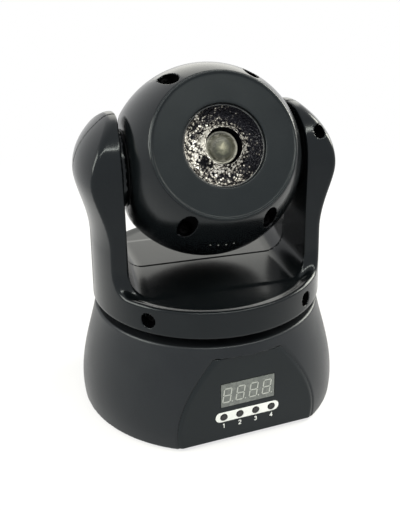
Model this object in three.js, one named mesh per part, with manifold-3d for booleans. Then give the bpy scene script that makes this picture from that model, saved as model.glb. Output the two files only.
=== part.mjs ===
// LED moving head: a small stage light. A round base stands on four feet and
// holds the power supply, boards and pan motor. The yoke turns on the base, and
// the ball-shaped head with its lens tilts between the arms of the yoke.
// Units are millimetres. Z is up, the front with the display faces -Y, and the
// origin lies on the pan axis in the plane that the feet stand on.
import * as THREE from 'three';
import { mergeVertices } from 'three/addons/utils/BufferGeometryUtils.js';
import Module from 'manifold-3d';

const wasm = await Module();
wasm.setup();

// Fits shared by all pieces
const runningGap = 0.3;
const seatGap = 0.2;
const splitGap = 0.3;
const overrun = 2;
const weldTolerance = 0.0001;
const roundSides = 30;
const headSides = 26;
const midSides = 16;
const smallSides = 12;
const bossSides = 8;
const tinySides = 6;

// Pose in which the light stands at rest, in degrees
const restPan = -5.6;
const restTilt = 26.7;

// Base housing
const footHeight = 2;
const footRadius = 6;
const footStemRadius = 2;
const footInset = 20;
const footAngle = 30;
const footBarb = 0.8;
const footBarbHeight = 1.5;
const baseBellyRadius = 75;
const baseBottomTuck = 0.5;
const baseBottomRadius = baseBellyRadius - baseBottomTuck;
const footCircle = baseBellyRadius - footInset;
const baseBellyHeight = 8;
const baseTopRadius = 64.8;
const baseHeight = 58;
const baseEdge = 0.9;
const baseWall = 2.5;
const baseRibThickness = 1.6;
const baseRibDepth = 5;
const basePostRadius = 4;
const facetHeight = 51.5;
const facetShares = { front: 0.8, rear: 0.76 };
const frontFacetRoom = 4;
const frontFacet = facetShares.front * baseBellyRadius + frontFacetRoom;
const rearFacet = facetShares.rear * baseBellyRadius;
const panelThickness = 1.2;
const rearPanelThickness = 1.5;
const panelMargin = 0.35;
const basePlateThickness = 1.5;
const basePlateRecess = 1;
const ventSlotWidth = 3;
const ventSlotLength = 26;
const ventSlotPitch = 7;
const ventSlotCount = 5;

// Display and buttons
const displayWidth = 31;
const displayHeight = 14.4;
const displayCentre = 28.2;
const windowThickness = 1;
const displayDepth = 7;
const buttonCount = 4;
const buttonPitch = 9.3;
const buttonRadius = 1.75;
const buttonProud = 0.5;
const buttonTravel = 0.4;
const buttonCollarRadius = 2.9;
const buttonCollarThickness = 1;
const buttonCentre = 14.7;
const switchSide = 6;
const switchHeight = 3.6;
const boardThickness = 1.6;
const controlBoardWidth = 52;
const controlBoardHeight = 38;
const standoffRadius = 2.4;

// Connectors in the rear panel
const connectorCentre = 18;
const inletWidth = 28;
const inletHeight = 23;
const inletBodyWidth = 24.6;
const inletBodyHeight = 18.6;
const inletMouthWidth = 21.6;
const inletMouthHeight = 15.6;
const inletDepth = 21;
const inletMouthDepth = 16;
const inletPinLength = 10.5;
const inletPinWidth = 4;
const inletPinThickness = 2;
const inletPinPitch = 7;
const inletPinRise = 4;
const xlrOffset = 27.2;
const xlrFlangeWidth = 25;
const xlrFlangeHeight = 29;
const xlrShellRadius = 10.8;
const xlrMouthRadius = 8.2;
const xlrDepth = 19;
const xlrMouthDepth = 15.5;
const xlrPinRadius = 1.2;
const xlrPinLength = 10.5;
const xlrPinCircle = 3.8;
const xlrInsertRadius = 6.2;
const flangeThickness = 2;
const flangeCorner = 3;
const flangeScrewRadius = 1.6;
const fuseRadius = 6.3;
const fuseKnobHeight = 6;
const fuseDepth = 22;
const fuseCentre = 42;

// Pan drive: bearing, hollow shaft, pulleys, belt and motor
const bearingBore = 30;
const bearingOuter = 42;
const bearingWidth = 7;
const bearingLand = 3.2;
const collarWall = 3.5;
const shaftWall = 2.7;
const shaftFlangeRadius = 24;
const shaftFlangeThickness = 3;
const toothPitch = 3;
const toothDepth = 1.1;
const panTeeth = 48;
const motorTeeth = 12;
const beltWidth = 5;
const beltThickness = 1.3;
const pulleyWidth = 6;
const pulleyFlange = 1;
const pulleyFlangeRise = 1.2;
const collarLip = 1.5;
const panMotorShare = 38 / 75;
const panMotorOffset = panMotorShare * baseBellyRadius;
const panMotorSide = 35;
const panMotorCorner = 4;
const panMotorLength = 26;
const panMotorCap = 7;
const motorPilotRadius = 11;
const motorPilotHeight = 1.8;
const motorShaftRadius = 2.5;
const bracketThickness = 2;

// Boards inside the base
const mainBoardSideRoom = 1.3;
const mainBoardRearRoom = 2;
const mainBoardSetback = 18;
const mainBoardWidth = 2 * (panMotorOffset - panMotorSide / 2 - seatGap - bracketThickness - mainBoardSideRoom);
const mainBoardFront = mainBoardSetback - frontFacet;
const mainBoardEnd = rearFacet - inletDepth - inletPinWidth - mainBoardRearRoom;
const mainBoardLength = mainBoardEnd - mainBoardFront;
const mainBoardMiddle = (mainBoardEnd + mainBoardFront) / 2;
const mainBoardRise = 5;
const supplyWidth = 36;
const supplyShares = { along: 0.72, across: 0.547 };
const supplyLength = supplyShares.along * baseBellyRadius;
const supplyCentre = supplyShares.across * baseBellyRadius;

// Yoke
const drumGap = 5;
const yokeRadius = 65.5;
const drumHeight = 16;
const yokeEdge = 1.2;
const armBulgeRadius = 71.8;
const armBulgeHeight = 141;
const armWaistRadius = 64.9;
const armBulgeStart = 104;
const armTopHeight = 170.8;
const armTopRadius = 52;
const armHalfWidth = 31.2;
const armGapHalf = 47.3;
const armDraft = 0.071;
const deckFillet = 11;
const armFootRadius = 13;
const yokeWall = 2.2;
const yokeScrewRadius = 3.7;
const yokeScrewDepth = 5;
const yokeScrewFloor = 1.5;
const yokeScrewBoss = 4.9;
const yokeScrewAngle = 42;
const yokeScrewRise = 7.5;
const armScrewRadius = 3.2;
const armScrewHeight = 158.5;
const armScrewAcross = 57.9;
const frameThickness = 1.5;
const frameRecess = 0.8;
const frameRadius = 63;
const frameArmWidth = 24;
const frameArmPlace = 54;
const frameLugWidth = 10;
const frameLugHeight = 11;

// Tilt drive
const pivotHeight = 140.4;
const pivotBossRadius = 20.5;
const pivotBossHeight = 1.5;
const tiltBore = 12;
const tiltOuter = 18;
const tiltBearingWidth = 4;
const tiltAxleWall = 2;
const tiltAxleReach = 9.4;
const hubRadius = 20.5;
const hubThickness = 1.5;
const gearTeeth = 34;
const gearPitchDiameter = 34;
const gearModule = gearPitchDiameter / gearTeeth;
const pinionTeeth = 10;
const gearWidth = 2;
const gearBacklash = 0.3;
const pressureAngle = 20;
const hubSpigotRadius = 9.2;
const tiltMotorRadius = 10;
const tiltMotorLength = 7;
const tiltMotorEar = 13;
const tiltMotorEarWidth = 6;
const tiltMotorShaft = 1;

// Head
const headRadius = 52.4;
const headFaceRadius = 37.6;
const headFaceHeight = 47.6;
const headWall = 2.2;
const headFlat = 43.5;
const facePlateRadius = 36.6;
const facePlateThickness = 2;
const faceBead = 0.7;
const lensOpening = 21.3;
const headScrewRadius = 4.3;
const headScrewFloor = 1.6;
const headScrewBoss = 5.9;
const headScrewDepth = 20.6;
const headScrewCircle = 43.4;
const headScrewAngle = 60;
const headVentRadius = 0.7;
const headVentCount = 4;
const headVentHeight = 25;
const headVentStep = 5;
const lensRadius = 20.9;
const lensDepth = 22;
const lensRecess = 1.1;
const lensWellRadius = 9.2;
const lensWellDepth = 5.4;
const lensDomeRadius = 8.2;
const lensDomeRise = 2.2;
const lensFootRadius = 7.2;
const ledCavityRadius = 5;
const ledCavityDepth = 5;
const holderWall = 1.3;
const holderBrim = 3;
const ledBoardRadius = 16;
const ledDomeRadius = 3.4;
const ledSide = 9;
const ledHeight = 1;
const sinkRadius = 26;
const sinkPlate = 5;
const sinkLength = 27;
const finThickness = 1.5;
const finEdge = 3;
const finCount = 9;
const fanSide = 50;
const fanDepth = 10;
const fanWall = 1.5;
const fanHubRadius = 12.5;
const fanBlades = 7;
const bladeThickness = 1.1;
const bladeTwist = 34;
const strutWidth = 2.4;
const cradleSetback = 2.6;
const cradleThickness = 1.5;
const cradleWidth = 22;
const cradleHeight = 64;
const rearVentWidth = 3;
const rearVentPitch = 8;
const rearVentCount = 5;
const rearVentReach = 24;

// Levels worked out from the sizes above
const baseFloor = footHeight;
const baseTop = baseFloor + baseHeight;
const facetTop = baseFloor + facetHeight;
const drumFloor = baseTop + drumGap;
const deckLevel = drumFloor + drumHeight;
const toRadians = Math.PI / 180;

// A closed three.js mesh becomes a solid that can be joined and cut.
function solidOf(geometry) {
  const bare = geometry.clone();
  bare.deleteAttribute('normal');
  bare.deleteAttribute('uv');
  const welded = mergeVertices(bare, weldTolerance);
  const corners = welded.index.array;
  const triangles = [];
  for (let i = 0; i < corners.length; i += 3) {
    const [a, b, c] = [corners[i], corners[i + 1], corners[i + 2]];
    if (a !== b && b !== c && c !== a) triangles.push(a, b, c);
  }
  const mesh = new wasm.Mesh({
    numProp: 3,
    vertProperties: new Float32Array(welded.attributes.position.array),
    triVerts: new Uint32Array(triangles),
  });
  return new wasm.Manifold(mesh);
}

const asSolid = (piece) => (piece.isBufferGeometry ? solidOf(piece) : piece);
const joined = (...pieces) => pieces.flat().map(asSolid).reduce((a, b) => a.add(b));
const cut = (body, ...tools) => tools.flat().map(asSolid).reduce((a, b) => a.subtract(b), asSolid(body));
const common = (a, b) => asSolid(a).intersect(asSolid(b));

// The mesh of a solid, for turning and moving it.
function geometryOf(piece) {
  const { numProp, vertProperties, triVerts } = asSolid(piece).getMesh();
  const geometry = new THREE.BufferGeometry();
  geometry.setAttribute('position', new THREE.BufferAttribute(vertProperties, numProp));
  geometry.setIndex(new THREE.BufferAttribute(triVerts, 1));
  return geometry;
}

// A profile of [radius, height] points turned round the Z axis.
function turned(profile, sides = roundSides) {
  const points = profile.map(([radius, height]) => new THREE.Vector2(radius, height));
  return new THREE.LatheGeometry(points, sides).rotateX(Math.PI / 2);
}

function disc(radius, low, high, sides = smallSides) {
  return turned([[0, low], [radius, low], [radius, high], [0, high]], sides);
}

function ring(outer, inner, low, high, sides = smallSides) {
  return turned([[inner, low], [outer, low], [outer, high], [inner, high], [inner, low]], sides);
}

function block(x0, x1, y0, y1, z0, z1) {
  const box = new THREE.BoxGeometry(x1 - x0, y1 - y0, z1 - z0);
  return box.translate((x0 + x1) / 2, (y0 + y1) / 2, (z0 + z1) / 2);
}

// A flat shape in X and Y, extruded up from one level to another.
function extruded(shape, low, high, curveSegments = 6) {
  const options = { depth: high - low, bevelEnabled: false, curveSegments };
  return new THREE.ExtrudeGeometry(shape, options).translate(0, 0, low);
}

// Turns for pieces drawn upright: +Z goes to +X, or to +Y or -Y.
const alongX = (geometry) => geometry.rotateY(Math.PI / 2);
const alongFront = (geometry) => geometry.rotateX(Math.PI / 2);
const alongRear = (geometry) => geometry.rotateX(-Math.PI / 2);
const moved = (geometry, x, y, z) => geometry.translate(x, y, z);

function roundedRectangle(width, height, corner) {
  const [x, y] = [width / 2, height / 2];
  const shape = new THREE.Shape();
  shape.moveTo(-x + corner, -y);
  shape.lineTo(x - corner, -y);
  shape.absarc(x - corner, -y + corner, corner, -Math.PI / 2, 0);
  shape.lineTo(x, y - corner);
  shape.absarc(x - corner, y - corner, corner, 0, Math.PI / 2);
  shape.lineTo(-x + corner, y);
  shape.absarc(-x + corner, y - corner, corner, Math.PI / 2, Math.PI);
  shape.lineTo(-x, -y + corner);
  shape.absarc(-x + corner, -y + corner, corner, Math.PI, Math.PI * 1.5);
  return shape;
}

function polygon(points) {
  return new THREE.Shape(points.map(([x, y]) => new THREE.Vector2(x, y)));
}

// Points along a round arc, from one angle to another.
function arcPoints(x, y, radius, from, to, steps) {
  return Array.from({ length: steps + 1 }, (_, i) => {
    const angle = from + (to - from) * i / steps;
    return [x + radius * Math.cos(angle), y + radius * Math.sin(angle)];
  });
}

// Points of a cubic curve between two [radius, height] ends.
function curvePoints(start, startHandle, endHandle, end, steps) {
  const ends = [start, startHandle, endHandle, end].map(([x, y]) => new THREE.Vector2(x, y));
  const curve = new THREE.CubicBezierCurve(...ends);
  return curve.getPoints(steps).map((point) => [point.x, point.y]);
}

const plastic = (color, roughness = 0.55) => new THREE.MeshStandardMaterial({ color, roughness, metalness: 0 });
const metal = (color, roughness = 0.35) => new THREE.MeshStandardMaterial({ color, roughness, metalness: 1 });
const shellBlack = plastic('#2f3336');
const innerBlack = plastic('#1b1c1e', 0.6);
const rubber = plastic('#17181a', 0.9);
const steel = metal('#b9bcc0');
const brightSteel = metal('#d7d9dc', 0.25);
const aluminium = metal('#c4c7ca', 0.4);
const copper = metal('#b87345', 0.35);
const circuitGreen = plastic('#1e5a3a', 0.5);
const acrylic = plastic('#dfe3e4', 0.08);
const smoke = plastic('#8d9290', 0.2);
const displayGrey = plastic('#a9adab', 0.4);

const light = new THREE.Group();
const yoke = new THREE.Group();
yoke.rotation.z = restPan * toRadians;
const head = new THREE.Group();
head.position.z = pivotHeight;
head.rotation.x = Math.PI / 2 - restTilt * toRadians;
yoke.add(head);
light.add(yoke);

// A solid becomes a named mesh in its group, placed at the given point.
function part(name, piece, material, group = light, place = [0, 0, 0]) {
  const geometry = geometryOf(piece);
  geometry.computeVertexNormals();
  const mesh = new THREE.Mesh(geometry, material);
  mesh.name = name;
  mesh.position.set(...place);
  group.add(mesh);
  return mesh;
}

// The base is a bell: it swells a little above the floor and narrows to the top.
const bellSteps = 4;
const bellHandleShares = { low: 0.36, high: 0.26, lean: 0.2 };
const bellRise = baseHeight - baseBellyHeight;
const bellRun = baseBellyRadius - baseTopRadius;
function bell(inset, low, high) {
  const wall = curvePoints(
    [baseBellyRadius, baseBellyHeight],
    [baseBellyRadius, baseBellyHeight + bellHandleShares.low * bellRise],
    [baseTopRadius + bellHandleShares.lean * bellRun, baseHeight - bellHandleShares.high * bellRise],
    [baseTopRadius, baseHeight],
    bellSteps,
  ).map(([radius, height]) => [radius - inset, baseFloor + height]);
  const last = wall.length - 1;
  wall[last] = [wall[last][0], high - (inset > 0 ? 0 : baseEdge)];
  const crown = inset > 0 ? [] : [[baseTopRadius - baseEdge, high]];
  return turned([[0, low], [baseBottomRadius - inset, low], ...wall, ...crown, [0, high]]);
}

// Everything of the base behind a flat facet, up to the facet's top.
function beyondFront(distance, top) {
  const reach = baseBellyRadius + overrun;
  return block(-reach, reach, -reach, -distance, -overrun, top);
}
function beyondRear(distance, top) {
  const reach = baseBellyRadius + overrun;
  return block(-reach, reach, distance, reach, -overrun, top);
}

const frontSeat = frontFacet - panelThickness;
const rearSeat = rearFacet - rearPanelThickness;
const collarRadius = bearingOuter / 2 + collarWall;
const bearingTop = baseTop - baseWall;
const postCircle = footCircle + footRadius;
const postAngles = [45, 135, 225, 315];
const ribAngle = 60;
const ribAngles = [ribAngle, 180 - ribAngle, 180 + ribAngle, 360 - ribAngle];
const ribReach = (rearSeat - baseWall) / Math.sin(ribAngle * toRadians);
const plateLevel = baseFloor + basePlateRecess;
const plateTop = plateLevel + basePlateThickness;
const windowBack = -frontFacet + windowThickness;
const boardFace = windowBack + displayDepth + 2 * seatGap;
const windowMargin = 4;

function postPlaces(radius, angles) {
  return angles.map((angle) => [radius * Math.cos(angle * toRadians), radius * Math.sin(angle * toRadians)]);
}

function controlBoardHoles() {
  const x = controlBoardWidth / 2 - standoffRadius;
  const low = baseFloor + windowMargin + standoffRadius;
  const high = low + controlBoardHeight - 2 * standoffRadius;
  return [[-x, low], [x, low], [-x, high], [x, high]];
}

function baseHousing() {
  const shell = cut(
    cut(bell(0, baseFloor, baseTop), beyondFront(frontSeat, facetTop), beyondRear(rearSeat, facetTop)),
    cut(
      bell(baseWall, baseFloor - overrun, baseTop - baseWall),
      beyondFront(frontSeat - baseWall, facetTop + baseWall),
      beyondRear(rearSeat - baseWall, facetTop + baseWall),
    ),
  );
  const collar = disc(collarRadius, bearingTop - bearingWidth - collarLip, bearingTop + baseWall / 2, midSides);
  const posts = postPlaces(postCircle, postAngles).map(([x, y]) =>
    moved(disc(basePostRadius, plateTop + seatGap, bearingTop + baseWall / 2, tinySides), x, y, 0));
  const ribs = ribAngles.map((angle) => {
    const inner = collarRadius - overrun;
    const bar = block(inner, ribReach, -baseRibThickness / 2, baseRibThickness / 2,
      bearingTop - baseRibDepth, bearingTop + baseWall / 2);
    return bar.rotateZ(angle * toRadians);
  });
  const standoffs = controlBoardHoles().map(([x, z]) => {
    const pin = disc(standoffRadius, 0, frontSeat + boardFace - baseWall / 2 - seatGap, tinySides);
    return moved(alongFront(pin), x, boardFace - seatGap, z);
  });
  const shaftHole = disc(bearingBore / 2 + bearingLand, bearingTop - overrun, baseTop + overrun, midSides);
  const bearingSeat = disc(bearingOuter / 2 + seatGap, baseFloor, bearingTop, midSides);
  const mouth = displayWidth / 2 + windowMargin;
  const displayMouth = block(-mouth, mouth, -baseBellyRadius, -frontSeat + baseWall + overrun,
    baseFloor + buttonCentre - buttonCollarRadius - windowMargin / 2,
    baseFloor + displayCentre + displayHeight / 2 + windowMargin / 2);
  const connectorHalf = xlrOffset + xlrFlangeWidth / 2;
  const connectorMouth = block(-connectorHalf, connectorHalf, rearSeat - baseWall - overrun, rearSeat + overrun,
    baseFloor + connectorCentre - xlrFlangeHeight / 2, baseFloor + connectorCentre + xlrFlangeHeight / 2);
  const fuseMouth = alongRear(disc(fuseRadius + seatGap, 0, baseWall + 2 * overrun, smallSides));
  moved(fuseMouth, 0, rearSeat - baseWall - overrun, baseFloor + fuseCentre);
  const body = cut(joined(shell, collar, posts, ribs), bearingSeat, shaftHole);
  return cut(joined(body, standoffs), displayMouth, connectorMouth, fuseMouth);
}
part('base_housing', baseHousing(), shellBlack);

// Flat panels in the two facets, cut to the outline of the bell around them.
function facetPanel(from, to) {
  const reach = baseBellyRadius + overrun;
  const slab = block(-reach, reach, from, to, baseFloor + panelMargin, facetTop - panelMargin);
  return common(bell(panelMargin, baseFloor - overrun, baseTop), slab);
}

function buttonPlaces() {
  const first = -(buttonCount - 1) / 2 * buttonPitch;
  return Array.from({ length: buttonCount }, (_, i) => first + i * buttonPitch);
}

function frontPanel() {
  const window = block(-displayWidth / 2 - seatGap, displayWidth / 2 + seatGap, -frontFacet - overrun,
    -frontSeat + overrun, baseFloor + displayCentre - displayHeight / 2 - seatGap,
    baseFloor + displayCentre + displayHeight / 2 + seatGap);
  const holes = buttonPlaces().map((x) => {
    const hole = alongFront(disc(buttonRadius + runningGap, -overrun, panelThickness + overrun, tinySides));
    return moved(hole, x, -frontSeat, baseFloor + buttonCentre);
  });
  return cut(facetPanel(-frontFacet, -frontSeat), window, holes);
}
part('front_panel', frontPanel(), shellBlack);

part('display_window', block(-displayWidth / 2, displayWidth / 2, -frontFacet, windowBack,
  baseFloor + displayCentre - displayHeight / 2, baseFloor + displayCentre + displayHeight / 2), smoke);

function displayModule() {
  const front = windowBack + seatGap;
  const inset = seatGap;
  return block(-displayWidth / 2 + inset, displayWidth / 2 - inset, front, front + displayDepth,
    baseFloor + displayCentre - displayHeight / 2 + inset, baseFloor + displayCentre + displayHeight / 2 - inset);
}
part('display_module', displayModule(), displayGrey);

function controlBoard() {
  const low = baseFloor + windowMargin;
  const plate = block(-controlBoardWidth / 2, controlBoardWidth / 2, boardFace, boardFace + boardThickness,
    low, low + controlBoardHeight);
  const switches = buttonPlaces().map((x) => joined(
    block(x - switchSide / 2, x + switchSide / 2, boardFace - switchHeight, boardFace + boardThickness / 2,
      baseFloor + buttonCentre - switchSide / 2, baseFloor + buttonCentre + switchSide / 2),
    moved(alongFront(disc(buttonRadius, 0, overrun, tinySides)), x, boardFace - switchHeight + overrun / 2,
      baseFloor + buttonCentre)));
  const chip = block(-switchSide, switchSide, boardFace + boardThickness / 2, boardFace + 2 * boardThickness,
    baseFloor + displayCentre - switchSide / 2, baseFloor + displayCentre + switchSide / 2);
  return joined(plate, switches, chip);
}
part('control_board', controlBoard(), circuitGreen);

// Each button is a cap with a collar behind the panel and a stem to its switch.
function button() {
  const back = frontFacet + buttonProud + boardFace - switchHeight - overrun / 2 - buttonTravel - seatGap;
  const collarStart = buttonProud + panelThickness + seatGap;
  return alongRear(turned([
    [0, 0], [buttonRadius - seatGap, 0], [buttonRadius, seatGap], [buttonRadius, collarStart],
    [buttonCollarRadius, collarStart], [buttonCollarRadius, collarStart + buttonCollarThickness],
    [buttonRadius, collarStart + buttonCollarThickness], [buttonRadius, back], [0, back],
  ], tinySides));
}
buttonPlaces().forEach((x, i) => {
  part(`button_${i + 1}`, button(), innerBlack, light, [x, -frontFacet - buttonProud, baseFloor + buttonCentre]);
});

// The bottom plate closes the base. Its studs carry the boards.
const postInset = baseWall + seatGap;
const boardLevel = plateTop + mainBoardRise;
const studRadius = 2;
const studPlaces = (x, y, halfWidth, halfLength) => [[-1, -1], [1, -1], [-1, 1], [1, 1]].map(([sideX, sideY]) =>
  [x + sideX * (halfWidth - 2 * studRadius), y + sideY * (halfLength - 2 * studRadius)]);
const mainBoardStuds = studPlaces(0, mainBoardMiddle, mainBoardWidth / 2, mainBoardLength / 2);
const supplyStuds = studPlaces(-supplyCentre, 0, supplyWidth / 2, supplyLength / 2);
const footAngles = [footAngle, 180 - footAngle, 180 + footAngle, 360 - footAngle];

function basePlate() {
  const reach = baseBellyRadius + overrun;
  const slab = block(-reach, reach, -frontSeat + postInset, rearSeat - postInset, plateLevel, plateTop);
  const plate = common(bell(postInset, baseFloor, baseTop), slab);
  const studs = [...mainBoardStuds, ...supplyStuds].map(([x, y]) =>
    moved(disc(studRadius, plateLevel + basePlateThickness / 2, boardLevel - seatGap, tinySides), x, y, 0));
  const footHoles = postPlaces(footCircle, footAngles).map(([x, y]) =>
    moved(disc(footStemRadius + seatGap, 0, plateTop + overrun, bossSides), x, y, 0));
  const slots = Array.from({ length: ventSlotCount }, (_, i) => {
    const x = (i - (ventSlotCount - 1) / 2) * ventSlotPitch + panMotorOffset;
    return block(x - ventSlotWidth / 2, x + ventSlotWidth / 2, -ventSlotLength / 2, ventSlotLength / 2,
      0, plateTop + overrun);
  });
  return cut(joined(plate, studs), footHoles, slots);
}
part('base_plate', basePlate(), steel);

// A rubber foot: a pad under the plate and a stem that snaps through it.
function foot() {
  const barbStart = plateTop + seatGap;
  const barbRadius = footStemRadius + footBarb;
  return turned([
    [0, 0], [footRadius - seatGap, 0], [footRadius, seatGap], [footRadius, plateLevel],
    [footStemRadius, plateLevel], [footStemRadius, barbStart], [barbRadius, barbStart],
    [footStemRadius / 2, barbStart + footBarbHeight], [0, barbStart + footBarbHeight],
  ], bossSides);
}
postPlaces(footCircle, footAngles).forEach(([x, y], i) => {
  part(`foot_${i + 1}`, foot(), rubber, light, [x, y, 0]);
});

// Boards carry blocks and cans. Each row gives the place, the width and length
// as shares of the board, and the height as a share of the tallest component.
const componentHeight = 20;
const mainBoardShares = [
  [-0.2, -0.32, 0.42, 0.12, 0.2], [0.22, -0.36, 0.3, 0.08, 0.35], [0, -0.1, 0.4, 0.18, 0.11],
  [-0.3, 0.14, 0.22, 0.09, 0.25], [0.26, 0.12, 0.24, 0.14, 0.3], [0, 0.36, 0.78, 0.1, 0.4],
];
function board(width, length, level, x, y) {
  return block(x - width / 2, x + width / 2, y - length / 2, y + length / 2, level, level + boardThickness);
}
function boardBlocks(shares, width, length, level, x, y) {
  const surface = level + boardThickness;
  return shares.map(([atX, atY, wide, long, tall]) => block(
    x + (atX - wide / 2) * width, x + (atX + wide / 2) * width,
    y + (atY - long / 2) * length, y + (atY + long / 2) * length,
    surface - boardThickness / 2, surface + tall * componentHeight));
}
const canRadius = 3.5;
const canShares = { mainAcross: 0.16, mainAlong: 0.24, supplyAcross: 0.1, supplyAlong: -0.28 };
const canHeight = 11;
function mainBoard() {
  const plate = board(mainBoardWidth, mainBoardLength, boardLevel, 0, mainBoardMiddle);
  const blocks = boardBlocks(mainBoardShares, mainBoardWidth, mainBoardLength, boardLevel, 0, mainBoardMiddle);
  const cans = [-1, 1].map((side) => moved(
    disc(canRadius, boardLevel + boardThickness / 2, boardLevel + boardThickness + canHeight, tinySides),
    side * canShares.mainAcross * mainBoardWidth, mainBoardMiddle + canShares.mainAlong * mainBoardLength, 0));
  return joined(plate, blocks, cans);
}
part('main_board', mainBoard(), circuitGreen);

const supplyBlockShares = [
  [0.1, -0.02, 0.6, 0.36, 0.95], [-0.34, 0.02, 0.1, 0.7, 1.05], [0.2, 0.36, 0.5, 0.16, 0.6],
  [0.1, -0.4, 0.7, 0.12, 0.45],
];
function powerSupply() {
  const plate = board(supplyWidth, supplyLength, boardLevel, -supplyCentre, 0);
  const blocks = boardBlocks(supplyBlockShares, supplyWidth, supplyLength, boardLevel, -supplyCentre, 0);
  const can = moved(disc(2 * canRadius, boardLevel + boardThickness / 2, boardLevel + 2 * canHeight, tinySides),
    canShares.supplyAcross * supplyWidth - supplyCentre, canShares.supplyAlong * supplyLength, 0);
  return joined(plate, blocks, can);
}
part('power_supply', powerSupply(), circuitGreen);

// Rear panel with the power inlet, the two data sockets and the fuse.
// They are drawn as seen from behind, with their own height along Y.
function atRear(geometry, x, height) {
  return moved(alongRear(geometry).rotateY(Math.PI), x, rearFacet, baseFloor + height);
}
const flangeScrewPlaces = [[-1, 1], [1, -1]].map(([sideX, sideY]) => [
  sideX * (xlrFlangeWidth / 2 - flangeCorner), sideY * (xlrFlangeHeight / 2 - flangeCorner)]);

function rearPanel() {
  const thick = rearPanelThickness + overrun;
  const inlet = atRear(extruded(roundedRectangle(inletBodyWidth + 2 * seatGap, inletBodyHeight + 2 * seatGap,
    flangeCorner), -thick, overrun, 1), 0, connectorCentre);
  const sockets = [-xlrOffset, xlrOffset].map((x) =>
    atRear(disc(xlrShellRadius + seatGap, -thick, overrun), x, connectorCentre));
  const fuse = atRear(disc(fuseRadius + seatGap, -thick, overrun), 0, fuseCentre);
  return cut(facetPanel(rearSeat, rearFacet), inlet, sockets, fuse);
}
part('rear_panel', rearPanel(), steel);

// The inlet's mouth has two clipped corners, and three blades stand in it.
const inletClipShare = 1 / 3;
const inletTagShare = 1 / 4;
function inletMouth() {
  const [x, y] = [inletMouthWidth / 2, inletMouthHeight / 2];
  const clip = inletMouthHeight * inletClipShare;
  return polygon([[-x, -y + clip], [-x + clip, -y], [x - clip, -y], [x, -y + clip], [x, y], [-x, y]]);
}
function powerInlet() {
  const floor = flangeThickness - inletMouthDepth;
  const flange = extruded(roundedRectangle(inletWidth, inletHeight, flangeCorner), 0, flangeThickness, 1);
  const body = extruded(roundedRectangle(inletBodyWidth, inletBodyHeight, flangeCorner), -inletDepth,
    flangeThickness / 2, 1);
  const blades = [[-inletPinPitch, inletPinRise / 2], [0, -inletPinRise / 2], [inletPinPitch, inletPinRise / 2]];
  const pins = blades.map(([x, y]) => block(x - inletPinThickness / 2, x + inletPinThickness / 2,
    y - inletPinWidth / 2, y + inletPinWidth / 2, floor - overrun, floor + inletPinLength));
  const tagHalf = inletPinThickness * inletTagShare;
  const tags = blades.map(([x, y]) => block(x - inletPinThickness, x + inletPinThickness,
    y - tagHalf, y + tagHalf, -inletDepth - inletPinWidth, -inletDepth + overrun));
  const shell = cut(joined(flange, body), extruded(inletMouth(), floor, flangeThickness + overrun));
  return joined(shell, pins, tags);
}
part('power_inlet', atRear(geometryOf(powerInlet()), 0, connectorCentre), innerBlack);

function socketBody() {
  const flange = extruded(roundedRectangle(xlrFlangeWidth, xlrFlangeHeight, flangeCorner), 0, flangeThickness, 1);
  const shell = disc(xlrShellRadius, -xlrDepth, flangeThickness / 2);
  const screws = flangeScrewPlaces.map(([x, y]) =>
    moved(disc(flangeScrewRadius, -overrun, flangeThickness + overrun, tinySides), x, y, 0));
  return cut(joined(flange, shell), screws);
}
const pinAngles = [90, 210, 330];
function dmxInput() {
  const floor = flangeThickness - xlrMouthDepth;
  const mouth = disc(xlrMouthRadius, floor, flangeThickness + overrun);
  const pins = postPlaces(xlrPinCircle, pinAngles).map(([x, y]) =>
    moved(disc(xlrPinRadius, floor - overrun, floor + xlrPinLength, tinySides), x, y, 0));
  return joined(cut(socketBody(), mouth), pins);
}
function dmxOutput() {
  const floor = flangeThickness - xlrMouthDepth;
  const moat = ring(xlrMouthRadius + flangeThickness / 2, xlrInsertRadius + flangeThickness / 2, floor,
    flangeThickness + overrun);
  const holes = postPlaces(xlrPinCircle, pinAngles).map(([x, y]) =>
    moved(disc(xlrPinRadius, floor, flangeThickness + overrun, tinySides), x, y, 0));
  const latchWidth = xlrInsertRadius;
  const latchFoot = xlrMouthRadius + flangeThickness;
  const latch = block(-latchWidth / 2, latchWidth / 2, latchFoot, xlrFlangeHeight / 2 - seatGap,
    flangeThickness / 2, 2 * flangeThickness);
  return joined(cut(socketBody(), moat, holes), latch);
}
part('dmx_input', atRear(geometryOf(dmxInput()), xlrOffset, connectorCentre), brightSteel);
part('dmx_output', atRear(geometryOf(dmxOutput()), -xlrOffset, connectorCentre), brightSteel);

const fuseShares = { collar: 0.6, barrel: 0.8 };
function fuseHolder() {
  const collar = flangeThickness * fuseShares.collar;
  const knob = fuseRadius - collar / 2;
  const barrel = fuseRadius * fuseShares.barrel;
  const body = turned([
    [0, -fuseDepth], [barrel, -fuseDepth], [barrel, -rearPanelThickness - baseWall],
    [fuseRadius, -rearPanelThickness - baseWall], [fuseRadius, 0], [fuseRadius + collar, 0],
    [fuseRadius + collar, collar], [knob, collar], [knob, fuseKnobHeight - collar / 2],
    [knob - collar / 2, fuseKnobHeight], [0, fuseKnobHeight],
  ], smallSides);
  const slot = block(-knob, knob, -collar / 2, collar / 2, fuseKnobHeight - collar, fuseKnobHeight + overrun);
  return cut(body, slot);
}
part('fuse_holder', atRear(geometryOf(fuseHolder()), 0, fuseCentre), innerBlack);

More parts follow.
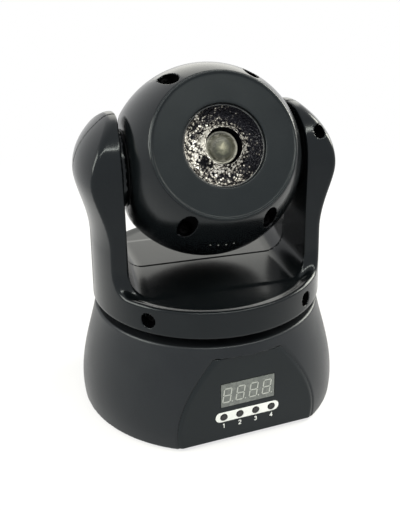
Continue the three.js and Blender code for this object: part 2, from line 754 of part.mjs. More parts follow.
// Pan drive. The hollow shaft hangs from the yoke through a ball bearing.
const bearingFloor = bearingTop - bearingWidth;
const shaftRadius = bearingBore / 2 - runningGap;
const frameLevel = drumFloor + frameRecess;
const shaftTop = frameLevel - runningGap;
const pulleyTop = bearingFloor - collarLip - runningGap;
const toothLow = pulleyTop - pulleyWidth;
const pulleyLow = toothLow - pulleyFlange;
const shaftLow = pulleyLow - pulleyFlange;

function panBearing() {
  const land = bearingLand / 2;
  const groove = land / 2;
  const [inner, outer] = [bearingBore / 2, bearingOuter / 2];
  return turned([
    [inner, bearingFloor], [inner + land, bearingFloor], [inner + land, bearingFloor + groove],
    [outer - land, bearingFloor + groove], [outer - land, bearingFloor], [outer, bearingFloor],
    [outer, bearingTop], [inner, bearingTop], [inner, bearingFloor],
  ], midSides);
}
part('pan_bearing', panBearing(), brightSteel);

function panShaft() {
  const bore = shaftRadius - shaftWall;
  const flangeLow = shaftTop - shaftFlangeThickness;
  return turned([
    [bore, shaftLow], [shaftRadius, shaftLow], [shaftRadius, flangeLow], [shaftFlangeRadius, flangeLow],
    [shaftFlangeRadius, shaftTop], [bore, shaftTop], [bore, shaftLow],
  ], midSides);
}
part('pan_shaft', panShaft(), aluminium, yoke);

// Outline of a toothed belt pulley. Each tooth is a flat tip between round-bottomed gaps.
const toothShares = [[0.1, 0], [0.6, 1]];
const toothTipShare = 1 / 3;
const pitchRadius = (teeth) => teeth * toothPitch / (2 * Math.PI);
const tipRadius = (teeth) => pitchRadius(teeth) - toothDepth * toothTipShare;
function pulleyOutline(teeth) {
  const points = [];
  for (let i = 0; i < teeth; i += 1) {
    for (const [turn, depth] of toothShares) {
      const angle = (i + turn) / teeth * 2 * Math.PI;
      const radius = tipRadius(teeth) - depth * toothDepth;
      points.push([radius * Math.cos(angle), radius * Math.sin(angle)]);
    }
  }
  return polygon(points);
}
function panPulley() {
  const toothed = extruded(pulleyOutline(panTeeth), toothLow - pulleyFlange / 2, pulleyTop);
  const flange = disc(tipRadius(panTeeth) + pulleyFlangeRise, pulleyLow, toothLow, midSides);
  return cut(joined(toothed, flange),
    disc(shaftRadius + runningGap, pulleyLow - overrun, pulleyTop + overrun, midSides));
}
part('pan_pulley', panPulley(), aluminium, yoke);

const motorSpin = new THREE.Group();
motorSpin.position.x = panMotorOffset;
light.add(motorSpin);
function motorPulley() {
  const toothed = extruded(pulleyOutline(motorTeeth), toothLow - pulleyFlange / 2, pulleyTop + pulleyFlange / 2);
  const rim = tipRadius(motorTeeth) + pulleyFlangeRise;
  const flanges = [disc(rim, pulleyLow, toothLow, smallSides),
    disc(rim, pulleyTop, pulleyTop + pulleyFlange, smallSides)];
  const bore = disc(motorShaftRadius + runningGap, pulleyLow - overrun, pulleyTop + overrun, tinySides);
  return cut(joined(toothed, flanges), bore);
}
part('pan_motor_pulley', motorPulley(), aluminium, motorSpin);

const bracketTop = pulleyLow - 2 * runningGap;
const panMotorTop = bracketTop - bracketThickness;
part('pan_motor_shaft', disc(motorShaftRadius, panMotorTop - panMotorCap, pulleyTop + pulleyFlange, tinySides),
  brightSteel, motorSpin);

function panMotor() {
  const outline = (inset) => roundedRectangle(panMotorSide - inset, panMotorSide - inset, panMotorCorner);
  const floor = panMotorTop - panMotorLength;
  const layers = [
    extruded(outline(0), floor, floor + panMotorCap, 1),
    extruded(outline(baseRibThickness), floor + panMotorCap / 2, panMotorTop - panMotorCap / 2, 1),
    extruded(outline(0), panMotorTop - panMotorCap, panMotorTop, 1),
    disc(motorPilotRadius, panMotorTop - overrun, panMotorTop + motorPilotHeight, smallSides),
  ];
  const well = disc(motorShaftRadius + runningGap, panMotorTop - panMotorCap - runningGap, bracketTop + overrun,
    smallSides);
  return cut(joined(layers), well);
}
part('pan_motor', panMotor(), steel, light, [panMotorOffset, 0, 0]);

function panMotorBracket() {
  const half = panMotorSide / 2 + seatGap;
  const outer = half + bracketThickness;
  const top = block(-outer, outer, -outer, outer, panMotorTop, bracketTop);
  const legs = [-1, 1].map((side) => {
    const [near, far] = [side * half, side * outer].sort((a, b) => a - b);
    return block(-half, half, near, far, plateTop, panMotorTop + bracketThickness / 2);
  });
  const windows = [-1, 1].map((side) => block(-half / 2, half / 2, side * half - overrun * 2,
    side * half + overrun * 2, plateTop + panMotorCap, panMotorTop - panMotorCap));
  const pilot = disc(motorPilotRadius + seatGap, panMotorTop - overrun, bracketTop + overrun);
  return cut(joined(top, legs), pilot, windows);
}
part('pan_motor_bracket', panMotorBracket(), steel, light, [panMotorOffset, 0, 0]);

// A belt round two pulleys: two arcs and the straight runs that touch both.
function beltPath(path, large, small, distance) {
  const lean = Math.acos((large - small) / distance);
  path.absarc(0, 0, large, lean, 2 * Math.PI - lean, false);
  path.absarc(distance, 0, small, -lean, lean, false);
  path.closePath();
  return path;
}
const beltSteps = 7;
function panBelt() {
  const gaps = [runningGap, runningGap + beltThickness];
  const [inner, outer] = gaps.map((gap) => [tipRadius(panTeeth) + gap, tipRadius(motorTeeth) + gap]);
  const shape = beltPath(new THREE.Shape(), outer[0], outer[1], panMotorOffset);
  shape.holes.push(beltPath(new THREE.Path(), inner[0], inner[1], panMotorOffset));
  const low = toothLow + (pulleyWidth - beltWidth) / 2;
  return extruded(shape, low, low + beltWidth, beltSteps);
}
part('pan_belt', panBelt(), rubber);

// The yoke is a turned body, cut to the arms' side outline and by the gap for
// the head. The same three forms, drawn smaller by the wall, hollow it out.
const drumSteps = 3;
const crownSteps = 4;
const filletSteps = 3;
const archSteps = 11;
const bulgeShares = { startLift: 0.44, endDrop: 0.25, crownLift: 0.36, crownDrop: 0.3, crownLean: 0.67 };
function yokeTurned(inset, low) {
  const bulgeRise = armBulgeHeight - armBulgeStart;
  const crownRise = armTopHeight - armBulgeHeight;
  const crownRun = armBulgeRadius - armTopRadius;
  const bulge = curvePoints(
    [armWaistRadius, armBulgeStart], [armWaistRadius, armBulgeStart + bulgeShares.startLift * bulgeRise],
    [armBulgeRadius, armBulgeHeight - bulgeShares.endDrop * bulgeRise], [armBulgeRadius, armBulgeHeight],
    drumSteps,
  );
  const crown = curvePoints(
    [armBulgeRadius, armBulgeHeight], [armBulgeRadius, armBulgeHeight + bulgeShares.crownLift * crownRise],
    [armTopRadius + bulgeShares.crownLean * crownRun, armTopHeight - bulgeShares.crownDrop * crownRise],
    [armTopRadius, armTopHeight],
    crownSteps,
  ).slice(1);
  const wall = [...bulge, ...crown].map(([radius, height]) => [radius - inset, height]);
  const edge = inset > 0 ? 0 : yokeEdge;
  const last = wall.length - 1;
  wall[last] = [wall[last][0], armTopHeight - inset];
  return turned([[0, low], [yokeRadius - inset - edge, low], [yokeRadius - inset, low + edge], ...wall,
    [0, armTopHeight - inset]]);
}

// Side outline: the drum below, a narrower arm with a round top above it.
function yokeSide(inset) {
  const half = armHalfWidth - inset;
  const deck = deckLevel - inset;
  const foot = armFootRadius + inset;
  const reach = armBulgeRadius + overrun;
  const shape = polygon([
    [-reach, 0], [reach, 0], [reach, deck],
    ...arcPoints(half + foot, deck + foot, foot, -Math.PI / 2, -Math.PI, filletSteps),
    ...arcPoints(0, pivotHeight, half, 0, Math.PI, archSteps),
    ...arcPoints(-half - foot, deck + foot, foot, 0, -Math.PI / 2, filletSteps), [-reach, deck],
  ]);
  const slab = extruded(shape, -reach, reach);
  return slab.rotateX(Math.PI / 2).rotateZ(Math.PI / 2);
}

// The gap between the arms has a rounded floor and widens to the front and rear.
function headGap(inset) {
  const half = armGapHalf + inset;
  const deck = deckLevel - inset;
  const fillet = deckFillet + inset;
  const reach = armBulgeRadius + overrun;
  const shape = polygon([
    ...arcPoints(half - fillet, deck + fillet, fillet, -Math.PI / 2, 0, filletSteps),
    [half, armTopHeight + overrun], [-half, armTopHeight + overrun],
    ...arcPoints(-half + fillet, deck + fillet, fillet, Math.PI, Math.PI * 3 / 2, filletSteps),
  ]);
  const options = { depth: 2 * reach, bevelEnabled: false, steps: 2 };
  const slab = new THREE.ExtrudeGeometry(shape, options).translate(0, 0, -reach).rotateX(Math.PI / 2);
  const points = slab.attributes.position;
  for (let i = 0; i < points.count; i += 1) {
    const widening = Math.sign(points.getX(i)) * armDraft * Math.abs(points.getY(i));
    points.setX(i, points.getX(i) + widening);
  }
  return slab;
}
const yokeForm = (inset, low) => cut(common(yokeTurned(inset, low), yokeSide(inset)), headGap(inset));

// A round form on the tilt axis, drawn upright and laid along the axis.
const onPivot = (geometry, side) => moved(side > 0 ? alongX(geometry) : alongX(geometry).rotateZ(Math.PI),
  0, 0, pivotHeight);
const bossFace = armGapHalf - pivotBossHeight;
const tiltBearingStart = bossFace + runningGap;
const tiltBearingEnd = tiltBearingStart + tiltBearingWidth;
const seatRadius = tiltOuter / 2 + seatGap;
const seatLip = 0.7;
const seatEnd = tiltBearingEnd + seatGap;
const bandAngles = [yokeScrewAngle, 180 - yokeScrewAngle, 180 + yokeScrewAngle, 360 - yokeScrewAngle]
  .map((angle) => angle + 90);
const bandScrew = (radius, deep, far, angle, sides) => moved(alongX(disc(radius, deep, far, sides)),
  0, 0, drumFloor + yokeScrewRise).rotateZ(angle * toRadians);
const bandSeat = yokeRadius - yokeScrewDepth;

function yokeShell() {
  const bosses = [-1, 1].flatMap((side) => [
    onPivot(disc(seatRadius + yokeWall, 0, seatEnd + seatLip), side),
    moved(alongFront(disc(armScrewRadius + yokeScrewFloor, -armHalfWidth, armHalfWidth, tinySides)),
      side * armScrewAcross, 0, armScrewHeight),
  ]);
  const bandBosses = bandAngles.map((angle) =>
    bandScrew(yokeScrewBoss, bandSeat - yokeScrewFloor, yokeRadius, angle, tinySides));
  const hollow = cut(yokeForm(yokeWall, drumFloor - overrun), bosses, bandBosses);
  const collars = [-1, 1].map((side) => onPivot(disc(pivotBossRadius, bossFace, armGapHalf + yokeWall / 2, midSides), side));
  const seats = [-1, 1].flatMap((side) => [
    onPivot(disc(seatRadius, 0, seatEnd, smallSides), side),
    onPivot(disc(seatRadius - overrun, 0, seatEnd + overrun, smallSides), side),
  ]);
  const armScrews = [-1, 1].map((side) => moved(
    alongFront(disc(armScrewRadius, side > 0 ? armHalfWidth / 2 : -armHalfWidth - overrun,
      side > 0 ? armHalfWidth + overrun : -armHalfWidth / 2, smallSides)),
    side * armScrewAcross, 0, armScrewHeight));
  const bandHoles = bandAngles.map((angle) =>
    bandScrew(yokeScrewRadius, bandSeat, yokeRadius + overrun, angle, smallSides));
  return cut(joined(cut(yokeForm(0, drumFloor), hollow), collars), seats, armScrews, bandHoles);
}

function halfOf(solid, frontSide) {
  const reach = armBulgeRadius + overrun;
  const near = splitGap / 2;
  const side = frontSide ? [-reach, -near] : [near, reach];
  return common(solid, block(-reach, reach, side[0], side[1], 0, armTopHeight + overrun));
}
const wholeYoke = yokeShell();
part('yoke_front_shell', halfOf(wholeYoke, true), shellBlack, yoke);
part('yoke_rear_shell', halfOf(wholeYoke, false), shellBlack, yoke);

// A bent steel frame inside the yoke: a round plate, two uprights and four lugs.
const gearCentres = gearModule * (gearTeeth + pinionTeeth) / 2;
const pinionHeight = pivotHeight - gearCentres;
function yokeFrame() {
  const plate = disc(frameRadius, frameLevel, frameLevel + frameThickness, roundSides);
  const uprights = [-1, 1].map((side) => {
    const [near, far] = [side * frameArmPlace, side * (frameArmPlace + frameThickness)].sort((a, b) => a - b);
    return joined(
      block(near, far, -frameArmWidth / 2, frameArmWidth / 2, frameLevel, pivotHeight),
      moved(alongX(disc(frameArmWidth / 2, near, far)), 0, 0, pivotHeight),
    );
  });
  const lugPlace = bandSeat - yokeScrewFloor - runningGap;
  const lugs = bandAngles.map((angle) => block(lugPlace - frameThickness, lugPlace, -frameLugWidth / 2,
    frameLugWidth / 2, frameLevel, frameLevel + frameLugHeight).rotateZ(angle * toRadians));
  const axleHole = alongX(disc(tiltOuter / 2, -armBulgeRadius, armBulgeRadius));
  const pinionHole = alongX(disc(2 * tiltMotorShaft, -armBulgeRadius, 0, tinySides));
  const cableHole = disc(shaftRadius - shaftWall, frameLevel - overrun, frameLevel + overrun + frameThickness);
  return cut(joined(plate, uprights, lugs), cableHole, moved(axleHole, 0, 0, pivotHeight),
    moved(pinionHole, 0, 0, pinionHeight));
}
part('yoke_frame', yokeFrame(), steel, yoke);

// Tilt drive: two ball bearings, two hollow axles, and gears in the left arm.
const tiltLandShare = 1 / 3;
function tiltBearing() {
  const [inner, outer] = [tiltBore / 2, tiltOuter / 2];
  const land = (outer - inner) * tiltLandShare;
  const groove = land / 2;
  const [low, high] = [tiltBearingStart, tiltBearingEnd];
  return turned([
    [inner, low], [inner + land, low], [inner + land, low + groove], [outer - land, low + groove],
    [outer - land, low], [outer, low], [outer, high], [inner, high], [inner, low],
  ], smallSides);
}
part('tilt_bearing_left', onPivot(tiltBearing(), -1), brightSteel, yoke);
part('tilt_bearing_right', onPivot(tiltBearing(), 1), brightSteel, yoke);

const hubFace = headFlat + runningGap;
const cradleFace = headFlat - headWall - cradleSetback;
const gearStart = seatEnd + seatLip + seatGap * 2;
const gearEnd = gearStart + gearWidth;
function tiltAxle() {
  const outer = tiltBore / 2 - runningGap;
  const bore = outer - tiltAxleWall;
  return turned([
    [bore, cradleFace + runningGap], [hubSpigotRadius, cradleFace + runningGap], [hubSpigotRadius, hubFace],
    [hubRadius, hubFace], [hubRadius, hubFace + hubThickness], [outer, hubFace + hubThickness],
    [outer, frameArmPlace + seatLip], [bore, frameArmPlace + seatLip], [bore, cradleFace + runningGap],
  ], midSides);
}
const onAxis = (geometry, side) => (side > 0 ? alongX(geometry) : alongX(geometry).rotateY(Math.PI));
part('tilt_axle_left', onAxis(tiltAxle(), -1), aluminium, head);
part('tilt_axle_right', onAxis(tiltAxle(), 1), aluminium, head);

// Stub involute teeth: the width of a tooth follows from its pressure angle.
const addendumShare = 0.8;
const dedendumShare = 1.05;
const involute = (angle) => Math.tan(angle) - angle;
function gearOutline(teeth, turn) {
  const pitchCircle = gearModule * teeth / 2;
  const baseCircle = pitchCircle * Math.cos(pressureAngle * toRadians);
  const tip = pitchCircle + addendumShare * gearModule;
  const root = pitchCircle - dedendumShare * gearModule;
  const atPitch = (Math.PI * gearModule - gearBacklash) / (4 * pitchCircle) + involute(pressureAngle * toRadians);
  const halfAngle = (radius) => atPitch - involute(Math.acos(Math.min(1, baseCircle / radius)));
  const sides = [[root, halfAngle(Math.max(root, baseCircle))], [tip, halfAngle(tip)]];
  const flank = [...sides.map(([radius, half]) => [radius, -half]),
    ...sides.slice().reverse().map(([radius, half]) => [radius, half])];
  const points = [];
  for (let i = 0; i < teeth; i += 1) {
    for (const [radius, half] of flank) {
      const angle = turn + i / teeth * 2 * Math.PI + half;
      points.push([radius * Math.cos(angle), radius * Math.sin(angle)]);
    }
  }
  return polygon(points);
}
function tiltGear() {
  const turn = Math.PI / gearTeeth - (Math.PI / 2 - restTilt * toRadians);
  const wheel = extruded(gearOutline(gearTeeth, turn), -gearEnd, -gearStart);
  return alongX(geometryOf(cut(wheel, disc(tiltBore / 2, -gearEnd - overrun, -gearStart + overrun))));
}
part('tilt_gear', tiltGear(), brightSteel, head);

const pinionSpin = new THREE.Group();
pinionSpin.position.z = pinionHeight;
yoke.add(pinionSpin);
const tiltMotorStart = frameArmPlace + frameThickness + runningGap;
function tiltPinion() {
  const wheel = extruded(gearOutline(pinionTeeth, 0), -gearEnd, -gearStart);
  const shaft = disc(tiltMotorShaft, -tiltMotorStart - tiltMotorLength / 2, -gearStart, tinySides);
  return alongX(geometryOf(joined(wheel, shaft)));
}
part('tilt_pinion', tiltPinion(), brightSteel, pinionSpin);

function tiltMotor() {
  const [start, end] = [-tiltMotorStart - tiltMotorLength, -tiltMotorStart];
  const can = disc(tiltMotorRadius, start, end, smallSides);
  const ears = block(-tiltMotorEarWidth / 2, tiltMotorEarWidth / 2, -tiltMotorEar, tiltMotorEar,
    end - tiltMotorShaft, end);
  const well = disc(tiltMotorShaft + runningGap, start + tiltMotorLength / 2 - runningGap, end + overrun, tinySides);
  const screws = [-1, 1].map((side) => moved(disc(tiltMotorShaft, end - overrun, end + overrun, tinySides),
    0, side * (tiltMotorRadius + tiltMotorShaft), 0));
  return moved(alongX(geometryOf(cut(joined(can, ears), well, screws))), 0, 0, pinionHeight);
}
part('tilt_motor', tiltMotor(), steel, yoke);

// The head: a ball whose front narrows to the round face, with two flat cheeks.
const shoulderShares = { lift: 0.406, radius: 0.475, height: 0.782 };
const rearSteps = 5;
const shoulderSteps = 4;
function headForm(inset, front) {
  const rear = Array.from({ length: rearSteps }, (_, i) => {
    const angle = -Math.PI / 2 + (i / rearSteps) * Math.PI / 2;
    return [(headRadius - inset) * Math.cos(angle), (headRadius - inset) * Math.sin(angle)];
  });
  const run = headRadius - headFaceRadius;
  const shoulder = curvePoints(
    [headRadius, 0], [headRadius, shoulderShares.lift * headFaceHeight],
    [headFaceRadius + shoulderShares.radius * run, shoulderShares.height * headFaceHeight],
    [headFaceRadius, headFaceHeight],
    shoulderSteps,
  ).map(([radius, height]) => [radius - inset, height]);
  const last = shoulder.length - 1;
  shoulder[last] = [shoulder[last][0], front];
  rear[0] = [0, -(headRadius - inset)];
  const ball = turned([...rear, ...shoulder, [0, front]], headSides);
  const cheek = headFlat - inset;
  const reach = headRadius + overrun;
  return common(ball, block(-cheek, cheek, -reach, reach, -reach, reach));
}

// The screw wells run along the head's axis, as a mould draws them, and open on the shoulder.
const headScrewAngles = [headScrewAngle, 180 - headScrewAngle, 180 + headScrewAngle, 360 - headScrewAngle];
const headScrewLevel = headFaceHeight - headScrewDepth;
const shoulderTool = (radius, low, angle, sides) => disc(radius, low, headFaceHeight + overrun, sides)
  .translate(headScrewCircle, 0, 0)
  .rotateZ(angle * toRadians);

const faceLedge = headFaceHeight - facePlateThickness - runningGap;
const ledgeThickness = 1.5;
const ledgeRadius = facePlateRadius - headWall;
function headShell() {
  const bosses = headScrewAngles.map((angle) =>
    shoulderTool(headScrewBoss, headScrewLevel - headScrewFloor, angle, smallSides));
  const hollow = cut(headForm(headWall, faceLedge - ledgeThickness), bosses);
  const opening = [disc(ledgeRadius, 0, headFaceHeight + overrun, headSides),
    disc(facePlateRadius + runningGap, faceLedge, headFaceHeight + overrun, headSides)];
  const axleHole = alongX(disc(hubSpigotRadius + runningGap, -headRadius, headRadius, midSides));
  const screws = headScrewAngles.map((angle) =>
    shoulderTool(headScrewRadius, headScrewLevel, angle, smallSides));
  return cut(headForm(0, headFaceHeight), hollow, opening, axleHole, screws);
}
const wholeHead = headShell();
const headReach = headRadius + overrun;
const headHalf = (low, high) => common(wholeHead, block(-headReach, headReach, -headReach, headReach, low, high));

function headFrontShell() {
  const vents = Array.from({ length: headVentCount }, (_, i) => {
    const angle = -90 + (i - (headVentCount - 2)) * headVentStep;
    return alongX(disc(headVentRadius, headRadius / 2, headReach, tinySides))
      .translate(0, 0, headVentHeight).rotateZ(angle * toRadians);
  });
  return cut(headHalf(splitGap / 2, headReach), vents);
}
part('head_front_shell', headFrontShell(), shellBlack, head);

function headRearShell() {
  const slots = Array.from({ length: rearVentCount }, (_, i) => {
    const x = (i - (rearVentCount - 1) / 2) * rearVentPitch;
    const half = Math.sqrt(rearVentReach ** 2 - x ** 2);
    return block(x - rearVentWidth / 2, x + rearVentWidth / 2, -half, half, -headReach, -headRadius / 2);
  });
  return cut(headHalf(-headReach, -splitGap / 2), slots);
}
part('head_rear_shell', headRearShell(), shellBlack, head);

// The face carries a thin bead at its rim and one round opening for the lens.
function facePlate() {
  const [low, high] = [headFaceHeight - facePlateThickness, headFaceHeight];
  return turned([
    [lensOpening, low], [facePlateRadius, low], [facePlateRadius, high],
    [facePlateRadius - faceBead, high + faceBead], [facePlateRadius - 2 * faceBead, high], [lensOpening, high],
    [lensOpening, low],
  ], headSides);
}
part('face_plate', facePlate(), shellBlack, head);

// The lens is a deep cone with a well in front and a hollow for the source behind.
const lensFront = headFaceHeight - lensRecess;
const lensBack = lensFront - lensDepth;
const lensRim = 1.6;
const lensBellyShare = 0.58;
const lensDomeShares = [1, 0.5];
const flankSteps = 2;
function lensFlank(inset) {
  return curvePoints(
    [lensFootRadius + inset, lensBack], [lensFootRadius + inset + lensRim, lensBack + lensDepth * lensBellyShare / 2],
    [lensRadius + inset - lensRim, lensFront - lensRim - lensDepth * lensBellyShare / 2],
    [lensRadius + inset, lensFront - lensRim],
    flankSteps,
  );
}
function tirLens() {
  const wellFloor = lensFront - lensWellDepth;
  const dome = lensDomeShares.map((share) => [lensDomeRadius * share, wellFloor + lensDomeRise * (1 - share ** 2)]);
  return turned([
    [0, lensBack + ledCavityDepth], [ledCavityRadius, lensBack + ledCavityDepth - overrun], [ledCavityRadius, lensBack],
    ...lensFlank(0), [lensRadius, lensFront], [lensWellRadius, lensFront], [lensWellRadius, wellFloor],
    ...dome, [0, wellFloor + lensDomeRise],
  ], midSides);
}
part('tir_lens', tirLens(), acrylic, head);

const ledTop = lensBack - ledHeight;
const holderFoot = ledTop - ledHeight + runningGap;
function lensHolder() {
  const inner = lensFlank(runningGap + seatGap);
  const outer = lensFlank(runningGap + seatGap + holderWall);
  const top = faceLedge;
  const last = inner.length - 1;
  const foot = inner[0][0];
  return turned([
    [foot, holderFoot], [foot + holderWall + holderBrim, holderFoot],
    [foot + holderWall + holderBrim, holderFoot + holderWall], ...outer.reverse(),
    [inner[last][0] + holderWall, top], [inner[last][0], top], ...inner.reverse(), [foot, holderFoot],
  ], midSides);
}
part('lens_holder', lensHolder(), innerBlack, head);

const ledBoardTop = holderFoot - runningGap;
const ledDomeShares = { side: 0.5, top: 0.7 };
const ledBoardLow = ledBoardTop - boardThickness;
function ledBoard() {
  const plate = disc(ledBoardRadius, ledBoardLow, ledBoardTop, midSides);
  const emitter = block(-ledSide / 2, ledSide / 2, -ledSide / 2, ledSide / 2, ledBoardTop - boardThickness / 2,
    ledBoardTop + ledHeight);
  const domeBase = ledBoardTop + ledHeight;
  const dome = turned([[0, domeBase - boardThickness / 2], [ledDomeRadius, domeBase - boardThickness / 2],
    [ledDomeRadius, domeBase], [ledDomeRadius * ledDomeShares.top, domeBase + ledDomeRadius * ledDomeShares.side],
    [0, domeBase + ledDomeRadius * ledDomeShares.top]], tinySides);
  return joined(plate, emitter, dome);
}
part('led_board', ledBoard(), aluminium, head);

const sinkTop = ledBoardLow - runningGap;
const finRadius = sinkRadius - overrun;
const finEnd = sinkTop - sinkLength;
function heatsink() {
  const plate = disc(sinkRadius, sinkTop - sinkPlate, sinkTop, midSides);
  const pitch = 2 * (finRadius - finEdge) / (finCount - 1);
  const fins = Array.from({ length: finCount }, (_, i) => {
    const x = (i - (finCount - 1) / 2) * pitch;
    const half = Math.sqrt(finRadius ** 2 - x ** 2);
    return block(x - finThickness / 2, x + finThickness / 2, -half, half, finEnd, sinkTop - sinkPlate / 2);
  });
  return joined(plate, fins);
}
part('heatsink', heatsink(), aluminium, head);

// A steel cradle takes the heatsink's plate to the two axles.
function headCradle() {
  const top = sinkTop - sinkPlate - runningGap;
  const low = top - cradleThickness;
  const plate = disc(cradleHeight / 2, low, top, midSides);
  const strap = block(-cradleFace, cradleFace, -cradleWidth / 2, cradleWidth / 2, low, top);
  const ears = [-1, 1].map((side) => {
    const [near, far] = [side * (cradleFace - cradleThickness), side * cradleFace].sort((a, b) => a - b);
    return block(near, far, -cradleWidth / 2, cradleWidth / 2, -cradleWidth / 2, top);
  });
  const axleHole = alongX(disc(tiltBore / 2 - tiltAxleWall, -headRadius, headRadius, tinySides));
  return cut(joined(plate, strap, ears), disc(finRadius + fanWall, low - overrun, top + overrun, midSides), axleHole);
}
part('head_cradle', headCradle(), steel, head);

// Cooling fan behind the fins: a square frame with struts, and a bladed rotor.
const fanTop = finEnd - runningGap;
const fanLow = fanTop - fanDepth;
const fanOpening = fanSide / 2 - fanWall;
function fanFrame() {
  const square = extruded(roundedRectangle(fanSide, fanSide, 2 * fanWall), fanLow, fanTop, 1);
  const struts = [45, 135, 225, 315].map((angle) =>
    block(0, fanOpening + overrun / 2, -strutWidth / 2, strutWidth / 2, fanLow, fanLow + fanWall)
      .rotateZ(angle * toRadians));
  const seat = disc(fanHubRadius, fanLow, fanLow + fanWall, smallSides);
  const open = cut(square, disc(fanOpening, fanLow - overrun, fanTop + overrun, midSides));
  return joined(open, struts, seat);
}
part('fan_frame', fanFrame(), innerBlack, head);

const fanSpin = new THREE.Group();
fanSpin.position.z = (fanTop + fanLow) / 2;
head.add(fanSpin);
function fanRotor() {
  const half = fanDepth / 2 - fanWall - runningGap;
  const hub = turned([[0, -half], [fanHubRadius - runningGap, -half], [fanHubRadius - runningGap, half],
    [0, half + fanWall]], smallSides);
  const reach = fanOpening - 2 * runningGap;
  const blade = (i) => {
    const length = reach - fanHubRadius + overrun;
    const geometry = new THREE.BoxGeometry(length, bladeThickness, 2 * half - runningGap, 2, 1, 1);
    geometry.translate(fanHubRadius - overrun + length / 2, 0, 0);
    const points = geometry.attributes.position;
    const twist = Math.tan(bladeTwist * toRadians);
    for (let k = 0; k < points.count; k += 1) {
      const [x, y, z] = [points.getX(k), points.getY(k), points.getZ(k)];
      const sweep = y + z * twist * fanHubRadius / x + (x - fanHubRadius) ** 2 / (4 * fanHubRadius);
      const radius = Math.min(x, Math.sqrt(Math.max(0, reach ** 2 - sweep ** 2)));
      points.setXYZ(k, radius, sweep, z);
    }
    return geometry.rotateZ(i / fanBlades * 2 * Math.PI);
  };
  return joined(hub, Array.from({ length: fanBlades }, (_, i) => blade(i)));
}
part('fan_rotor', fanRotor(), innerBlack, fanSpin);

export default light;
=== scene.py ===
# %% [markdown]
# A small LED moving head: a round base with a display, a yoke that turns on it
# and a ball-shaped head that tilts between the arms of the yoke. The packed
# solids give each body its place, so this lesson starts by loading them. Every
# new surface is then worked out in millimetres and laid over or instead of a
# solid, and it rides on the same body.

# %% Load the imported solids
import math

import bpy
import numpy as np
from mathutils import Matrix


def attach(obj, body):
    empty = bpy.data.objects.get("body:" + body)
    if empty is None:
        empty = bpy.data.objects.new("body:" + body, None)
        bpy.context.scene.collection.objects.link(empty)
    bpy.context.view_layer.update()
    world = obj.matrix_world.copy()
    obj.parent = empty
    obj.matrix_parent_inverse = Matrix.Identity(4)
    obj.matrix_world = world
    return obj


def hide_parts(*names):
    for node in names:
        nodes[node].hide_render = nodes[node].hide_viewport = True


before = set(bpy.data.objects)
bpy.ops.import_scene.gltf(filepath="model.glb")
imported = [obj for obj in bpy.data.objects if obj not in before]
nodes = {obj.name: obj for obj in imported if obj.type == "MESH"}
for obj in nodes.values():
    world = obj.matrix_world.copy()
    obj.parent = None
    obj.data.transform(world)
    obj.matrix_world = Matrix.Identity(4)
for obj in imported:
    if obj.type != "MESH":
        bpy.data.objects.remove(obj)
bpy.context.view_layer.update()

MM = 0.001

# %% [markdown]
# The camera comes first, because it shows at once whether a shape is right. A
# camera is fixed by where it stands, where it looks, and how long its lens is.
# Here the photograph was taken from the left of the object and from above, so
# the position is worked out from two angles and a distance. A small shift of
# the lens moves the picture in its frame without turning the camera.

# %% Camera
from mathutils import Matrix, Vector

CAMERA_AZIMUTH, CAMERA_HEIGHT, CAMERA_DISTANCE = -20.13, 22.86, 450
CAMERA_TARGET = Vector((0, 0, 102))
CAMERA_ROLL = -0.8
FOCAL_LENGTH, SENSOR_WIDTH, LENS_SHIFT = 55.51, 36, (-0.009, -0.061)


def photo_camera():
    """The camera stands at the distance from the target along a line with the two angles."""
    turn, rise = math.radians(CAMERA_AZIMUTH), math.radians(CAMERA_HEIGHT)
    back = Vector((math.sin(turn) * math.cos(rise), -math.cos(turn) * math.cos(rise), math.sin(rise)))
    data = bpy.data.cameras.new("photo_camera")
    data.lens, data.sensor_width = FOCAL_LENGTH, SENSOR_WIDTH
    data.shift_x, data.shift_y = LENS_SHIFT
    data.clip_start, data.clip_end = 0.01, 20
    camera = bpy.data.objects.new("photo_camera", data)
    facing = (-back).to_track_quat("-Z", "Y").to_matrix()
    roll = Matrix.Rotation(math.radians(CAMERA_ROLL), 3, "Z")
    camera.matrix_world = Matrix.Translation((CAMERA_TARGET + back * CAMERA_DISTANCE) * MM) @ (facing @ roll).to_4x4()
    bpy.context.scene.collection.objects.link(camera)
    bpy.context.scene.camera = camera
    return camera


camera = photo_camera()
print("camera at", [round(c, 4) for c in camera.matrix_world.translation])

# %% [markdown]
# A finish is a small net of nodes. Each net starts from what the real material
# is. One helper fills the inputs of a node with values and links, and another
# adds a node and fills it. Colours are written as the hex values that a paint
# chart would show. Blender works in linear light, so one function turns them
# to linear.

# %% Colours and the node helper


def linear(code):
    """Each sRGB channel becomes linear: the low end is a straight line, the rest a power of 2.4."""
    channels = [int(code[i:i + 2], 16) / 255 for i in (1, 3, 5)]
    return tuple(c / 12.92 if c <= 0.04045 else ((c + 0.055) / 1.055) ** 2.4 for c in channels) + (1.0,)


def fill(tree, node, values):
    """Fills a node's inputs; a value that is a pair of node and socket name becomes a link."""
    for socket, value in dict(values).items():
        if isinstance(value, tuple) and len(value) == 2 and hasattr(value[0], "outputs"):
            tree.links.new(value[0].outputs[value[1]], node.inputs[socket])
        else:
            node.inputs[socket].default_value = value


def add(tree, kind, values=(), **settings):
    """Adds a node with its settings and fills its inputs."""
    node = tree.nodes.new("ShaderNode" + kind)
    for key, value in settings.items():
        setattr(node, key, value)
    fill(tree, node, values)
    return node


def new_finish(name):
    """An empty material, its node tree, its object coordinates and its main shader."""
    material = bpy.data.materials.new(name)
    material.use_nodes = True
    tree = material.node_tree
    shader = tree.nodes["Principled BSDF"]
    return material, tree, (add(tree, "TexCoord"), "Object"), shader


print("middle grey in linear light", round(linear("#808080")[0], 3))

